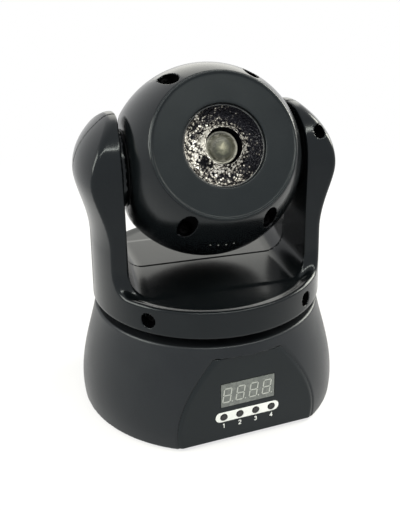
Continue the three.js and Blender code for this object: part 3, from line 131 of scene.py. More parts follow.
# %% [markdown]
# Most of the light's surfaces are one kind of finish at different settings: a
# base colour that drifts a little, a roughness that drifts with it, and a fine
# grain that catches light. One function builds that net from a few real sizes.
# The grain is given in millimetres, and where the real grain is too fine to
# show in the picture it is drawn coarser.

# %% A grained finish
# Nearly all values of a noise pattern lie between these two.
NOISE_LOW, NOISE_HIGH = 0.35, 0.65


def shades(tree, source, *stops):
    """Colours along the values of a pattern: each stop is a pair of value and hex code."""
    node = add(tree, "ValToRGB", {"Fac": source})
    elements = node.color_ramp.elements
    for element, (place, code) in zip(elements, (stops[0], stops[-1])):
        element.position, element.color = place, linear(code)
    for place, code in stops[1:-1]:
        elements.new(place).color = linear(code)
    return node, "Color"


def grained(name, low, high, rough, grain, depth, patch=18.0, stretch=None, **shader_values):
    """Large soft patches drive colour and roughness; a fine grain of the given size drives the bump."""
    material, tree, coords, shader = new_finish(name)
    if stretch:
        coords = (add(tree, "Mapping", {"Vector": coords, "Scale": stretch}), "Vector")
    patches = (add(tree, "TexNoise", {"Vector": coords, "Scale": 1 / (patch * MM), "Detail": 4.0}), "Fac")
    fine = (add(tree, "TexNoise", {"Vector": coords, "Scale": 1 / (grain * MM), "Detail": 2.0}), "Fac")
    total = (add(tree, "Math", {0: patches, 1: fine}, operation="ADD"), "Value")
    half = (add(tree, "Math", {0: total, 1: 0.5}, operation="MULTIPLY"), "Value")
    drift = add(tree, "MapRange", {"Value": half, "From Min": NOISE_LOW, "From Max": NOISE_HIGH,
                                   "To Min": rough[0], "To Max": rough[1]})
    bump = add(tree, "Bump", {"Height": fine, "Distance": depth * MM, "Strength": 1.0})
    fill(tree, shader, {"Base Color": shades(tree, half, (NOISE_LOW, low), (NOISE_HIGH, high)),
                        "Roughness": (drift, "Result"), "Normal": (bump, "Normal")})
    fill(tree, shader, {socket.replace("_", " "): value for socket, value in shader_values.items()})
    return material


# Black plastic looks a touch cool where it shines, so its reflection is tinted.
COOL = (0.87, 0.94, 1.0, 1.0)
# Moulded ABS from a polished mould: black with a touch of blue, glossy, with a faint grain.
shell_abs = grained("black_moulded_abs", "#080b0d", "#0d1012", (0.16, 0.22), 0.7, 0.0012, IOR=1.5,
                    Specular_IOR_Level=0.26, Specular_Tint=COOL)
# The base comes from a duller mould: the same plastic, satin and a little greyer.
base_abs = grained("satin_black_abs", "#0f1114", "#15171a", (0.3, 0.4), 0.8, 0.006, IOR=1.5, Specular_IOR_Level=0.34,
                   Specular_Tint=COOL)
# The same plastic for the front panel and the face, whose mould is smoother.
panel_abs = grained("smooth_black_abs", "#0a0f11", "#0e1315", (0.3, 0.38), 0.9, 0.004, IOR=1.5,
                    Specular_IOR_Level=0.29, Specular_Tint=COOL)
# Painted shade for the inside of a deep screw well: dull black with no sheen at all, standing for the shadow deep in
# the well.
well_painted_shade = grained("rough_black_well_painted_shade", "#030304", "#060607", (0.8, 0.95), 0.8, 0.01, IOR=1.0)
# Moulded nylon of caps and sockets: nearly black, with a soft sheen.
black_nylon = grained("black_nylon", "#09090a", "#111213", (0.32, 0.45), 0.8, 0.01, IOR=1.53)
# Soft rubber: dull, with no clear reflection.
foot_rubber = grained("dull_rubber", "#101112", "#1b1b1c", (0.78, 0.9), 0.8, 0.03, IOR=1.5)
# Powder coat on folded steel: fine orange peel under a low sheen.
powder_coat = grained("black_powder_coat", "#1d1f20", "#27292b", (0.42, 0.55), 1.1, 0.03, IOR=1.5)
# Zinc plate on pressed steel: pale, with cloudy patches.
zinc_plate = grained("zinc_plated_steel", "#8f9496", "#b9bdbe", (0.28, 0.45), 2.5, 0.01, 7.0, Metallic=1.0)
# Nickel plate on connectors and pins: bright and smooth.
nickel = grained("nickel_plate", "#a9abac", "#c9cacb", (0.16, 0.28), 1.4, 0.004, 9.0, Metallic=1.0)
# Ground bearing steel: pale, with fine marks from the grinding wheel.
ground_steel = grained("ground_steel", "#a3a6a8", "#c3c6c8", (0.18, 0.3), 0.6, 0.006, 6.0, Metallic=1.0)
# Milled aluminium: drawn along one way, with tool lines.
milled_aluminium = grained("milled_aluminium", "#a9adb0", "#c8cbcd", (0.3, 0.42), 0.8, 0.01, 9.0,
                           (1.0, 1.0, 6.0), Metallic=1.0)
# Black anodised aluminium of the axle discs: dark, a soft metal sheen.
black_anodised = grained("black_anodised", "#191b1d", "#222426", (0.34, 0.46), 0.9, 0.006, Metallic=0.6)
# Solder mask on a circuit board: green lacquer, slightly uneven over its copper.
solder_mask = grained("green_solder_mask", "#0e3d24", "#1c5c38", (0.28, 0.5), 1.6, 0.05, 4.0)
print("grained finishes", sum(m.name != "Dots Stroke" for m in bpy.data.materials))

# %% [markdown]
# A surface in Blender is a list of points and a list of faces. These helpers
# put both into a mesh object at the origin, give it a finish, and say which
# solid it stands for and which body carries it. Points are in millimetres in
# the yoke's or the head's own frame, so a matrix places them before they go in.

# %% Placing a finished mesh
REST_PAN, REST_TILT, PIVOT = -5.6, 26.7, 140.4


def turn_about(axis, degrees):
    """The matrix of a turn about an axis."""
    return Matrix.Rotation(math.radians(degrees), 4, axis)


yoke_place = turn_about("Z", REST_PAN)
head_place = yoke_place @ Matrix.Translation((0, 0, PIVOT)) @ turn_about("X", 90 - REST_TILT)
places = {"base": Matrix.Identity(4), "yoke": yoke_place, "head": head_place}


def piece(name, points, faces, finish, body, slot, stands_for=(), place=None, normals=None):
    """Points in mm are placed, scaled to metres and linked with faces of three or four corners."""
    matrix = np.array(places[body] if place is None else place)
    turn, shift = matrix[:3, :3], matrix[:3, 3]
    mesh = bpy.data.meshes.new(name)
    mesh.from_pydata((points @ turn.T + shift) * MM, [], faces.tolist() if hasattr(faces, "tolist") else faces)
    mesh.polygons.foreach_set("use_smooth", np.ones(len(mesh.polygons), bool))
    mesh.update()
    if normals is not None:
        mesh.normals_split_custom_set_from_vertices(normals @ turn.T)
    mesh.materials.append(finish)
    obj = bpy.data.objects.new(name, mesh)
    bpy.context.scene.collection.objects.link(obj)
    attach(obj, body)
    if stands_for:
        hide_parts(*stands_for)
    print(f"{name}: {len(mesh.vertices)} points, {len(mesh.polygons)} faces")
    return obj


# %% [markdown]
# The moulded shells have hollow arms, screw wells, rounded rims and fillets in
# all directions, and no single grid of two parameters can be wrapped on them.
# They are described the other way round: a formula gives the distance of any
# point from the surface, negative inside the plastic. A smooth greatest value
# of two distances is a rounded outer edge, and a smooth least value is a
# fillet. The skin is then laid where the distance is zero, and each of its
# points is moved along the slope of the formula until it lies on the surface.

# %% Rounded edges and fillets between distances


def both(a, b, radius=0.0):
    """Inside both forms. The outer edge where they meet is a quarter circle of the radius."""
    if radius <= 0:
        return np.maximum(a, b)
    return np.minimum(-radius, np.maximum(a, b)) + np.hypot(np.maximum(a + radius, 0), np.maximum(b + radius, 0))


def either(a, b, radius=0.0):
    """Inside one form or the other. The inner corner where they meet is filled with the radius."""
    return -both(-a, -b, radius)


def without(a, b, radius=0.0):
    """Inside the first form and outside the second."""
    return both(a, -b, radius)


def slab(value, low, high):
    """Distance from the space between two levels."""
    return np.maximum(low - value, value - high)


def block(x, y, z, x_span, y_span, z_span):
    """Distance from a sharp box: the greatest of its three slabs."""
    return np.maximum(np.maximum(slab(x, *x_span), slab(y, *y_span)), slab(z, *z_span))


def rod(across, up, along, radius, low, high, edge=0.0):
    """A round rod: distance from its axis less its radius, cut at two levels."""
    return both(np.hypot(across, up) - radius, slab(along, low, high), edge)


def ring_of_rods(x, y, z, circle, degrees, radius, low, high, edge=0.0):
    """Rods along the axis that stand on a circle round it, one at each angle: the least of their distances."""
    found = 1e3
    for turn in np.radians(degrees):
        across, up = x - circle * np.cos(turn), y - circle * np.sin(turn)
        found = np.minimum(found, rod(across, up, z, radius, low, high, edge))
    return found


def spoke(x, y, turn):
    """Coordinates along and across a line that leaves the axis at an angle."""
    return x * np.cos(turn) + y * np.sin(turn), y * np.cos(turn) - x * np.sin(turn)


def lozenge(x, y, width, height, corner):
    """A rectangle with round corners: distance from a smaller rectangle less the corner."""
    u, v = np.abs(x) - width / 2 + corner, np.abs(y) - height / 2 + corner
    return np.hypot(np.maximum(u, 0), np.maximum(v, 0)) + np.minimum(np.maximum(u, v), 0) - corner


print("an edge of 1 mm pulls its corner in by", round(float(both(0.0, 0.0, 1.0)), 3), "mm")

# %% [markdown]
# The formula is worked out at the corners of a grid of small cells. Where the
# corners of a cell disagree, the surface passes through it, and the cell gets
# one point, at the mean of its crossings. Every grid edge that is crossed gets
# a face between the four cells round it. A few steps down the slope then bring
# each point onto the surface, and the slope itself is the surface's normal, so
# the shading is smooth and true even where the cells are coarse.

# %% The skin of a distance formula
CORNERS = np.array([(x, y, z) for x in (0, 1) for y in (0, 1) for z in (0, 1)])
EDGES = [(a, b) for a in range(8) for b in range(a + 1, 8) if abs(CORNERS[a] - CORNERS[b]).sum() == 1]
# Cells of room round the box that holds a form, and steps that bring a point onto the surface.
MARGIN, NEWTON_STEPS = 1.5, 3
# Cell sizes in mm of the large skins.
BASE_CELL, YOKE_CELL, HEAD_CELL, HEAD_REAR_CELL = 0.95, 0.95, 0.72, 0.85
# A face whose middle is within this many mm of a well's wall gets the wells' painted shade.
WELL_REACH = 0.12


def slope(distance, points, step):
    """The gradient from the differences of the formula over one step each way along each axis."""
    parts = []
    for axis in range(3):
        shift = np.zeros(3)
        shift[axis] = step
        ahead, behind = (points + shift).T, (points - shift).T
        parts.append((distance(*ahead) - distance(*behind)) / (2 * step))
    return np.stack(parts, axis=1)


def skin(distance, low, high, cell):
    """One point in each grid cell that the surface crosses, and a face across each crossed grid edge."""
    cell = np.broadcast_to(np.asarray(cell, float) * (1.0), 3)
    starts = np.asarray(low, float) - MARGIN * cell
    axes = [np.arange(starts[i], high[i] + (MARGIN + 1) * cell[i], cell[i]) for i in range(3)]
    values = distance(*np.meshgrid(*axes, indexing="ij", sparse=True)).astype(np.float32)
    inside = values < 0
    count = sum(inside[c[0]:inside.shape[0] - 1 + c[0], c[1]:inside.shape[1] - 1 + c[1],
                       c[2]:inside.shape[2] - 1 + c[2]].astype(np.int8) for c in CORNERS)
    cells = np.argwhere((count > 0) & (count < 8))
    number = np.full(count.shape, -1, np.int64)
    number[tuple(cells.T)] = np.arange(len(cells))
    total, crossings = np.zeros((len(cells), 3)), np.zeros(len(cells))
    for a, b in EDGES:
        near, far = values[tuple((cells + CORNERS[a]).T)], values[tuple((cells + CORNERS[b]).T)]
        crossed = (near < 0) != (far < 0)
        share = np.where(crossed, near / np.where(crossed, near - far, 1), 0)
        total += crossed[:, None] * (CORNERS[a] + share[:, None] * (CORNERS[b] - CORNERS[a]))
        crossings += crossed
    points = starts + (cells + total / crossings[:, None]) * cell
    faces = []
    for axis in range(3):
        one, two = (axis + 1) % 3, (axis + 2) % 3
        ahead = np.roll(inside, -1, axis)
        for start, flip in ((inside & ~ahead, False), (~inside & ahead, True)):
            at = np.argwhere(start)
            step_one, step_two = np.eye(3, dtype=int)[one], np.eye(3, dtype=int)[two]
            ring = [at - step_one - step_two, at - step_two, at, at - step_one]
            quad = np.stack([number[tuple(corner.T)] for corner in ring], axis=1)
            faces.append(quad[:, ::-1] if flip else quad)
    for _ in range(NEWTON_STEPS):
        gradient = slope(distance, points, 0.1 * cell.min())
        length = np.maximum((gradient ** 2).sum(axis=1), 0.25)
        move = gradient * (distance(*points.T) / length)[:, None]
        points = points - np.clip(move, -0.5 * cell, 0.5 * cell)
    gradient = slope(distance, points, 0.15 * cell.min())
    length = np.linalg.norm(gradient, axis=1, keepdims=True)
    return points, np.concatenate(faces), gradient / np.maximum(length, 1e-9)


def moulded(name, distance, low, high, cell, finish, body, slot, stands_for=(), wells=None):
    """A piece whose skin is laid on a distance formula; faces in or near its wells get the wells' painted shade."""
    points, faces, normals = skin(distance, low, high, cell)
    obj = piece(name, points, faces, finish, body, slot, stands_for, None, normals)
    # Painted shade: faces in the wells get a dull black with no sheen, for the shadow inside them.
    if wells:
        obj.data.materials.append(well_painted_shade)
        near = wells(*points[faces].mean(axis=1).T) < WELL_REACH
        obj.data.polygons.foreach_set("material_index", near.astype(np.int32))
    return obj


# %% [markdown]
# Round profiles are smooth curves through measured radii. A cubic curve with
# two handles gives them, and a table of it turns into a wall: the distance of
# a point from the wall is its own radius less the wall's at that height, taken
# square to the slope.

# %% Curved walls


def curve(start, handle, end_handle, end, steps=400):
    """Points of a cubic curve: each share of the way mixes the four ends by its powers."""
    t = np.linspace(0, 1, steps)[:, None]
    ends = np.array([start, handle, end_handle, end], float)
    weights = np.hstack([(1 - t) ** 3, 3 * t * (1 - t) ** 2, 3 * t ** 2 * (1 - t), t ** 3])
    return weights @ ends


def wall_of(profile):
    """From a table of radius and height, a function of radius and height that gives the distance."""
    radii, heights = profile[:, 0], profile[:, 1]
    lean = np.gradient(radii, heights)

    def distance(radius, height):
        tilt = np.interp(height, heights, lean)
        return (radius - np.interp(height, heights, radii)) / np.sqrt(1 + tilt ** 2)
    return distance


BASE_TOP, BASE_FLOOR, FACET_TOP = 60.0, 2.0, 53.5
BELLY, BELLY_LEVEL = 75, 10
bell_curve = np.vstack([
    np.column_stack([BELLY - 0.5 + 0.5 * np.sin(np.linspace(0, np.pi / 2, 8)),
                     np.linspace(BASE_FLOOR, BELLY_LEVEL, 8)])[:-1],
    curve((BELLY, BELLY_LEVEL), (BELLY, 28), (66.84, 47), (64.8, BASE_TOP)),
])
bell = wall_of(bell_curve)
print("bell radius at the top", bell_curve[-1, 0])

# %% [markdown]
# The base housing is one moulding: a bell with two flats, hollow below, with a
# collar for the main bearing, ribs under its top and posts for the screws. It
# could be modelled with a lathe and cuts, but the cuts would leave long thin
# faces that shade badly, so it is skinned like the other shells.

# %% Base housing
FRONT, REAR, WALL = 64.0, 57.0, 2.5
FRONT_SEAT, REAR_SEAT = 62.8, 55.5
TOP_INSIDE = BASE_TOP - WALL
COLLAR, BEARING_SEAT, SHAFT_HOLE = 24.5, 21.2, 18.2
POST_CIRCLE, RIB_ANGLES, POST_ANGLES = 61, (60, 120, 240, 300), (45, 135, 225, 315)
FUSE_LEVEL, FUSE_HOLE = 44, 6.5


def facet_cuts(y, z, front, rear, top):
    """The space in front of the front flat and behind the rear one, up to a level."""
    return np.minimum(np.maximum(y + front, z - top), np.maximum(rear - y, z - top))


def base_housing(x, y, z):
    """The bell less its flats, less a smaller bell, with collar, ribs and posts."""
    r = np.hypot(x, y)
    outer = both(both(bell(r, z), z - BASE_TOP, 1.3), BASE_FLOOR - z, 0.5)
    outer = without(outer, facet_cuts(y, z, FRONT_SEAT, REAR_SEAT, FACET_TOP), 0.4)
    room = both(bell(r, z) + WALL, z - TOP_INSIDE, 1.5)
    room = without(room, facet_cuts(y, z, FRONT_SEAT - WALL, REAR_SEAT - WALL, FACET_TOP + WALL))
    inner = rod(x, y, z, COLLAR, 49, TOP_INSIDE + 1)
    for turn in np.radians(RIB_ANGLES):
        inner = np.minimum(inner, block(*spoke(x, y, turn), z, (22, POST_CIRCLE), (-0.8, 0.8), (52.5, 58)))
    inner = np.minimum(inner, ring_of_rods(x, y, z, POST_CIRCLE, POST_ANGLES, 4, 4.7, 58))
    room = without(room, inner, 0.6)
    for opening in (rod(x, y, z, BEARING_SEAT, 0, TOP_INSIDE), rod(x, y, z, SHAFT_HOLE, 50, 70),
                    block(x, y, z, (-19.5, 19.5), (-80, -58), (11.8, 39.4)),
                    block(x, y, z, (-39.7, 39.7), (51, 70), (5.5, 34.5)),
                    rod(x, z - FUSE_LEVEL, y, FUSE_HOLE, 50, 70)):
        room = np.minimum(room, opening)
    body = without(outer, room, 0.3)
    for side in (-1, 1):
        for level in (8.4, 41.6):
            body = np.minimum(body, rod(x - side * 23.6, z - level, y, 2.4, -61.5, -55.6))
    return body


moulded("base_shell", base_housing, (-75, -75, 2), (75, 75, 60), BASE_CELL, base_abs, "base", "shell",
        ["base_housing"])

# %% [markdown]
# The front panel fills the flat at the front. Its outline is where the flat
# meets the bell, so its edge is a thin slice of the bell itself, and only a
# hairline gap shows round it. The same formula with a slab instead of the
# hollow gives it, with a window and four round holes cut out.

# %% Front panel
BUTTONS = np.array([-13.95, -4.65, 4.65, 13.95])
BUTTON_LEVEL, WINDOW_LEVEL, WINDOW_SIZE = 16.7, 30.2, (31.0, 14.4)
PANEL_GAP = 0.35


def panel_plate(x, y, z, low, high):
    """A slab between two depths, cut to the bell less the hairline gap."""
    plate = both(bell(np.hypot(x, y), z) + PANEL_GAP, slab(z, BASE_FLOOR + PANEL_GAP, FACET_TOP - PANEL_GAP), 0.4)
    return both(plate, slab(y, low, high), 0.3)


def front_panel(x, y, z):
    """The plate at the front, with a rounded window and the holes of the buttons."""
    plate = panel_plate(x, y, z, -FRONT, -FRONT_SEAT)
    window = lozenge(x, z - WINDOW_LEVEL, WINDOW_SIZE[0] + 0.4, WINDOW_SIZE[1] + 0.4, 0.5)
    plate = without(plate, window, 0.2)
    for button in BUTTONS:
        plate = without(plate, np.hypot(x - button, z - BUTTON_LEVEL) - 2.05, 0.2)
    return plate


moulded("front_panel_skin", front_panel, (-41, -64, 2), (41, -62.8, 54), (0.55, 0.3, 0.55), panel_abs, "base",
        "panel", ["front_panel"])

# %% [markdown]
# Flat printed or inlaid pieces are outlines with a thickness. An outline that
# is a closed line of points is carried up as a small rounded profile and then
# closed by a fan to its middle, which works for every outline that the middle
# can see all of.

# %% Plates from an outline


def oval(width, height, corner, steps=12):
    """Outline of a rectangle with round corners, counterclockwise."""
    angles = np.linspace(0, np.pi / 2, steps)
    quarters = [(1, 1, 0), (-1, 1, 1), (-1, -1, 2), (1, -1, 3)]
    arcs = [np.column_stack([sx * (width / 2 - corner) + corner * np.cos(angles + k * np.pi / 2),
                             sy * (height / 2 - corner) + corner * np.sin(angles + k * np.pi / 2)])
            for sx, sy, k in quarters]
    return np.vstack(arcs)


def plate_points(outline, low, high, edge):
    """The outline rises from low to high, pulled in at the top by a quarter round, and is capped."""
    middle = outline.mean(axis=0)
    ahead, behind = np.roll(outline, -1, axis=0), np.roll(outline, 1, axis=0)
    along = ahead - behind
    out = np.column_stack([along[:, 1], -along[:, 0]]) / np.linalg.norm(along, axis=1)[:, None]
    steps = [(0.0, low)] + [(edge * (1 - math.cos(a)), high - edge + edge * math.sin(a))
                            for a in np.linspace(0, math.pi / 2, 4)]
    rows = [np.column_stack([outline - out * inset, np.full(len(outline), level)]) for inset, level in steps]
    points = np.vstack(rows + [[[*middle, low], [*middle, high]]])
    n, m = len(outline), len(rows)
    i, j = np.arange(n), (np.arange(n) + 1) % n
    faces = [[r * n + a, r * n + b, (r + 1) * n + b, (r + 1) * n + a] for r in range(m - 1) for a, b in zip(i, j)]
    faces += [[b, a, m * n] for a, b in zip(i, j)]
    faces += [[(m - 1) * n + a, (m - 1) * n + b, m * n + 1] for a, b in zip(i, j)]
    return points, faces


def merged(parts):
    """Several point and face lists become one, with the faces counted on."""
    points, faces, start = [], [], 0
    for some_points, some_faces in parts:
        points.append(some_points)
        faces += [[start + corner for corner in face] for face in some_faces]
        start += len(some_points)
    return np.vstack(points), faces


front_place = turn_about("X", 90)
print("front pieces are drawn in X and Z and stand towards -Y")

# %% [markdown]
# The display is a row of four seven-segment digits with points, behind a grey
# window. Unlit, each segment shows as a thin bar, a little paler than the
# window. A segment is a stretched hexagon, and the seven of a digit lean a
# little. They lie a hair above the window, as print would.

# %% Display window and digits
# Tinted acrylic: grey, cloudy, glossy on top.
window_acrylic = grained("grey_window_acrylic", "#545957", "#646966", (0.22, 0.32), 3.0, 0.004, 6.0, Coat_Weight=0.5)
# The pale bar of an unlit segment, cast in milky resin.
segment_resin = grained("milky_segment_resin", "#9fa3a0", "#b3b7b3", (0.4, 0.5), 1.0, 0.004, 3.0)


def segment(length, width):
    """Six corners of a stretched hexagon that lies along X."""
    a, b = length / 2, width / 2
    return np.array([(a, 0), (a - b, b), (b - a, b), (-a, 0), (b - a, -b), (a - b, -b)])


def digit(x, level, low, high):
    """Seven stretched hexagons and a round point make one digit with a slight lean."""
    length, width, shorter, point_radius, edge = 4.2, 0.62, 0.4, 0.38, 0.03
    lean = math.tan(math.radians(8))
    segments = [(0, 2, 0), (0, 1, 0), (0, 0, 0), (-1, 1.5, 1), (1, 1.5, 1), (-1, 0.5, 1), (1, 0.5, 1)]
    parts = []
    for across, up, upright in segments:
        outline = segment(length - shorter, width)
        if upright:
            outline = outline[:, ::-1] * (-1, 1)
        outline = outline + (across * length / 2, (up - 1) * length)
        outline[:, 0] += outline[:, 1] * lean
        parts.append(plate_points(outline + (x, level), low, high, edge))
    angles = np.linspace(0, 2 * np.pi, 13)[:-1]
    point = point_radius * np.column_stack([np.cos(angles), np.sin(angles)]) + (x + length * 0.68, level - length)
    return parts + [plate_points(point, low, high, edge)]


window = plate_points(oval(WINDOW_SIZE[0], WINDOW_SIZE[1], 0.4) + (0, WINDOW_LEVEL), FRONT - 1.0, FRONT, 0.15)
piece("display_pane", *window, window_acrylic, "base", "window", ["display_window"], front_place)
# The first digit's middle, and the pitch of the row.
FIRST_DIGIT, DIGIT_PITCH = -11.9, 7.62
digits = merged([part for k in range(4)
                 for part in digit(FIRST_DIGIT + DIGIT_PITCH * k, WINDOW_LEVEL, FRONT - 0.05, FRONT + 0.05)])
piece("display_digits", *digits, segment_resin, "base", "display", (), front_place)

# %% [markdown]
# The four buttons poke through a white printed strip with round ends. The
# strip is a thin film of ink on the panel with four holes, so it is a distance
# skin, which takes holes without any cutting. The numbers under the buttons
# are bent lines with a half width: a pen stroke is all the places that are
# near enough to the line. The caps are spun from one profile.

# %% White strip, buttons and their numbers
# Screen-printed white ink: flat, a touch cool, slightly uneven.
white_ink = grained("white_screen_ink", "#dfe2e2", "#e8ebeb", (0.45, 0.6), 0.8, 0.004)


def button_strip(x, y, z):
    """A stadium with four round holes, a fifth of a millimetre thick."""
    film = both(lozenge(x + 0.2, z - BUTTON_LEVEL - 0.2, 37.0, 6.1, 3.04), slab(y, -FRONT - 0.12, -FRONT + 0.1), 0.06)
    for button in BUTTONS:
        film = without(film, np.hypot(x - button, z - BUTTON_LEVEL) - 2.15)
    return film


moulded("button_strip", button_strip, (-19, -64.2, 13), (19, -63.9, 21), (0.3, 0.08, 0.3), white_ink, "base", "panel")


def strokes(x, y, points, half):
    """Distance from a bent line of the given half width: the least distance from its straight parts."""
    found = 1e3
    for (ax, ay), (bx, by) in zip(points[:-1], points[1:]):
        dx, dy = bx - ax, by - ay
        share = np.clip(((x - ax) * dx + (y - ay) * dy) / (dx * dx + dy * dy), 0, 1)
        found = np.minimum(found, np.hypot(x - ax - share * dx, y - ay - share * dy))
    return found - half


def arc(cx, cy, radius, start, end, steps=9):
    """Points of a part of a circle, between two angles in degrees."""
    angles = np.radians(np.linspace(start, end, steps))
    return [(cx + radius * math.cos(a), cy + radius * math.sin(a)) for a in angles]


NUMERALS = [
    [(-0.45, 0.75), (0.1, 1.2), (0.1, -1.2)],
    arc(0, 0.55, 0.65, 165, -35) + [(-0.65, -1.2), (0.7, -1.2)],
    arc(-0.05, 0.6, 0.58, 150, -90, 8) + arc(-0.05, -0.58, 0.64, 90, -150, 8),
    [(0.35, -1.2), (0.35, 1.2), (-0.7, -0.5), (0.75, -0.5)],
]
NUMBER_LEVEL, PEN = 11.2, 0.22


def button_numbers(x, y, z):
    """The numbers one to four under the buttons, as a thin film of ink."""
    found = 1e3
    for button, line in zip(BUTTONS, NUMERALS):
        found = np.minimum(found, strokes(x - button, z - NUMBER_LEVEL, line, PEN))
    return both(found, slab(y, -FRONT - 0.1, -FRONT + 0.1), 0.04)


moulded("button_numbers", button_numbers, (-16, -64.15, 9.5), (16, -63.9, 13), (0.14, 0.08, 0.14), white_ink, "base",
        "panel")


def spun(profile, sides=64):
    """A profile of radius and height turned round Z; ends on the axis are closed by a point."""
    radii, heights = np.array(profile, float).T
    angles = np.linspace(0, 2 * np.pi, sides + 1)[:-1]
    points = np.stack([radii[:, None] * np.cos(angles), radii[:, None] * np.sin(angles),
                       np.repeat(heights[:, None], sides, axis=1)], axis=-1)
    rows = len(radii)
    closed = np.allclose(profile[0], profile[-1])
    start, end = radii[0] < 1e-9, radii[-1] < 1e-9
    used = list(range(1 if start else 0, rows - (1 if end or closed else 0)))
    grid = points[used].reshape(-1, 3)
    i, j = np.arange(sides), (np.arange(sides) + 1) % sides
    faces = []
    bands = [(k, k + 1) for k in range(len(used) - 1)] + ([(len(used) - 1, 0)] if closed else [])
    for a, b in bands:
        faces += np.column_stack([a * sides + i, a * sides + j, b * sides + j, b * sides + i]).tolist()
    if start:
        grid = np.vstack([grid, [0, 0, heights[0]]])
        faces += np.column_stack([j, i, np.full(sides, len(grid) - 1)]).tolist()
    if end:
        grid = np.vstack([grid, [0, 0, heights[-1]]])
        last = (len(used) - 1) * sides
        faces += np.column_stack([last + i, last + j, np.full(sides, len(grid) - 1)]).tolist()
    return grid, faces


def corner(radius, height, edge, start, steps=5):
    """A quarter round of the profile about a centre, from the start angle in degrees."""
    angles = np.radians(np.linspace(start, start + 90, steps))
    return [(radius + edge * math.cos(a), height + edge * math.sin(a)) for a in angles]


cap = [(0, 60.8), (1.75, 60.8), (1.75, 61.6), (2.9, 61.6), (2.9, 62.6), (1.75, 62.6)]
cap += corner(1.45, 64.2, 0.3, 0) + [(0.9, 64.42), (0, 64.3)]
points, faces = spun(cap, 40)
for k, x in enumerate(BUTTONS):
    piece(f"button_cap_{k + 1}", points + (x, BUTTON_LEVEL, 0), faces, black_nylon, f"button_{k + 1}", "button",
          [f"button_{k + 1}"], front_place)

# %% [markdown]
# The yoke is a drum with two hollow arms. Three forms make it: a turned body
# whose wall bulges at the arms, a side outline with round tops and wide
# fillets at the foot of each arm, and the gap for the head between the arms.
# In front the deck dips towards its rim, which stands up as a soft lip and
# catches a line of light. The same three forms, each smaller by the wall, are
# the hollow. The real one is split front and rear, so each half keeps its side
# of the middle plane.

# %% The forms of the yoke
DRUM_FLOOR, DECK, YOKE_RADIUS, ARM_WIDTH, ARM_TOP = 65.0, 81.0, 65.5, 31.2, 170.8
GAP_HALF, GAP_DRAFT, YOKE_WALL, SPLIT = 47.3, 0.071, 2.2, 0.15
BOSS_FACE, ARM_SCREW, ARM_SCREW_LEVEL = 45.8, 57.3, 158.5
# The deck dips by the first depth all over and by the second towards the front; the lip rises over its width.
DIP, FRONT_DIP, FRONT_REACH, LIP_START, LIP_WIDTH = 0.6, 1.7, 44, 57.6, 6.6
# The round top is a shade wider than the arm, so the arm's front breaks there; then the two fillets' radii.
TOP_WIDER, FOOT_FILLET, GAP_FILLET = 0.4, 13.0, 11.0
BAND_LEVEL, BAND_ANGLES, BAND_DEPTH = 72.5, (48, 132, 228, 312), 60.5
ARM_WELL, BAND_WELL, ARM_WELL_FLOOR = 3.0, 4.1, 15.6
yoke_curve = np.vstack([
    [[YOKE_RADIUS, 60.0], [YOKE_RADIUS, 66.0]],
    curve((64.9, 104), (64.9, 120.3), (71.8, 131.75), (71.8, 141)),
    curve((71.8, 141), (71.8, 151.7), (65.3, 161.9), (52, ARM_TOP))[1:],
    [[40.0, 175.0]],
])
yoke_wall = wall_of(yoke_curve)


def yoke_form(x, y, z, inset, floor, edge):
    """The turned body within the side outline, less the gap, each smaller by the inset. The deck's dip grows by the
    square of a sine towards the front, and fades by a smooth step across the lip."""
    r = np.hypot(x, y)
    share = np.clip((r - LIP_START) / LIP_WIDTH, 0, 1)
    dip = DIP + FRONT_DIP * np.sin(np.clip(-y / FRONT_REACH, 0, 1) * np.pi / 2) ** 2
    level = DECK - inset - dip * (1 - share * share * (3 - 2 * share))
    turned = both(yoke_wall(r, z) + inset, floor - z, 1.2 if inset == 0 else 0.0)
    above = z - PIVOT + TOP_WIDER
    dome = np.where(z > PIVOT - TOP_WIDER, np.hypot(y, above), np.abs(y) + 0 * z) - (ARM_WIDTH + TOP_WIDER - inset)
    arm = both(both(np.abs(y) - (ARM_WIDTH - inset), dome, 6.0), z - (ARM_TOP - inset), 2.0)
    side = either(z - level, arm, FOOT_FILLET + inset)
    gap = both(np.abs(x) - (GAP_HALF + inset + GAP_DRAFT * np.abs(y)), level - z, GAP_FILLET + inset)
    return without(both(turned, side, edge), gap, edge * 0.6)


def band_screws(x, y, z, radius, low, high):
    """Four round rods that point out from the pan axis, at equal angles either side of X."""
    found = 1e3
    for turn in np.radians(BAND_ANGLES):
        along, across = spoke(x, y, turn)
        found = np.minimum(found, rod(across, z - BAND_LEVEL, along, radius, low, high))
    return found


def yoke_wells(x, y, z):
    """Four wells round the drum, and one near the top of each arm: right in front, left behind."""
    right = rod(x - ARM_SCREW, z - ARM_SCREW_LEVEL, y, ARM_WELL, -40, -ARM_WELL_FLOOR)
    left = rod(x + ARM_SCREW, z - ARM_SCREW_LEVEL, y, ARM_WELL, ARM_WELL_FLOOR, 40)
    return np.minimum(np.minimum(right, left), band_screws(x, y, z, BAND_WELL, BAND_DEPTH, 80))


def yoke_shell(x, y, z):
    """The form less its hollow, with the pivot's bosses and seats and the screw wells."""
    outer = yoke_form(x, y, z, 0.0, DRUM_FLOOR, 1.7)
    room = yoke_form(x, y, z, YOKE_WALL, DRUM_FLOOR - 4, 0.0)
    pivot = np.hypot(y, z - PIVOT)
    room = without(room, both(pivot - 11.4, np.abs(x) - 51.0))
    room = without(room, rod(np.abs(x) - ARM_SCREW, z - ARM_SCREW_LEVEL, y, 4.7, -40, 40))
    room = without(room, band_screws(x, y, z, 4.9, 59.0, 70))
    body = without(outer, room)
    body = np.minimum(body, both(np.maximum(pivot - 20.5, BOSS_FACE - np.abs(x)), np.abs(x) - 48.4))
    body = without(body, both(pivot - 9.2, slab(np.abs(x), 40, 50.3)), 0.3)
    body = without(body, both(pivot - 7.2, slab(np.abs(x), 40, 52.3)))
    return without(body, yoke_wells(x, y, z), 0.45)


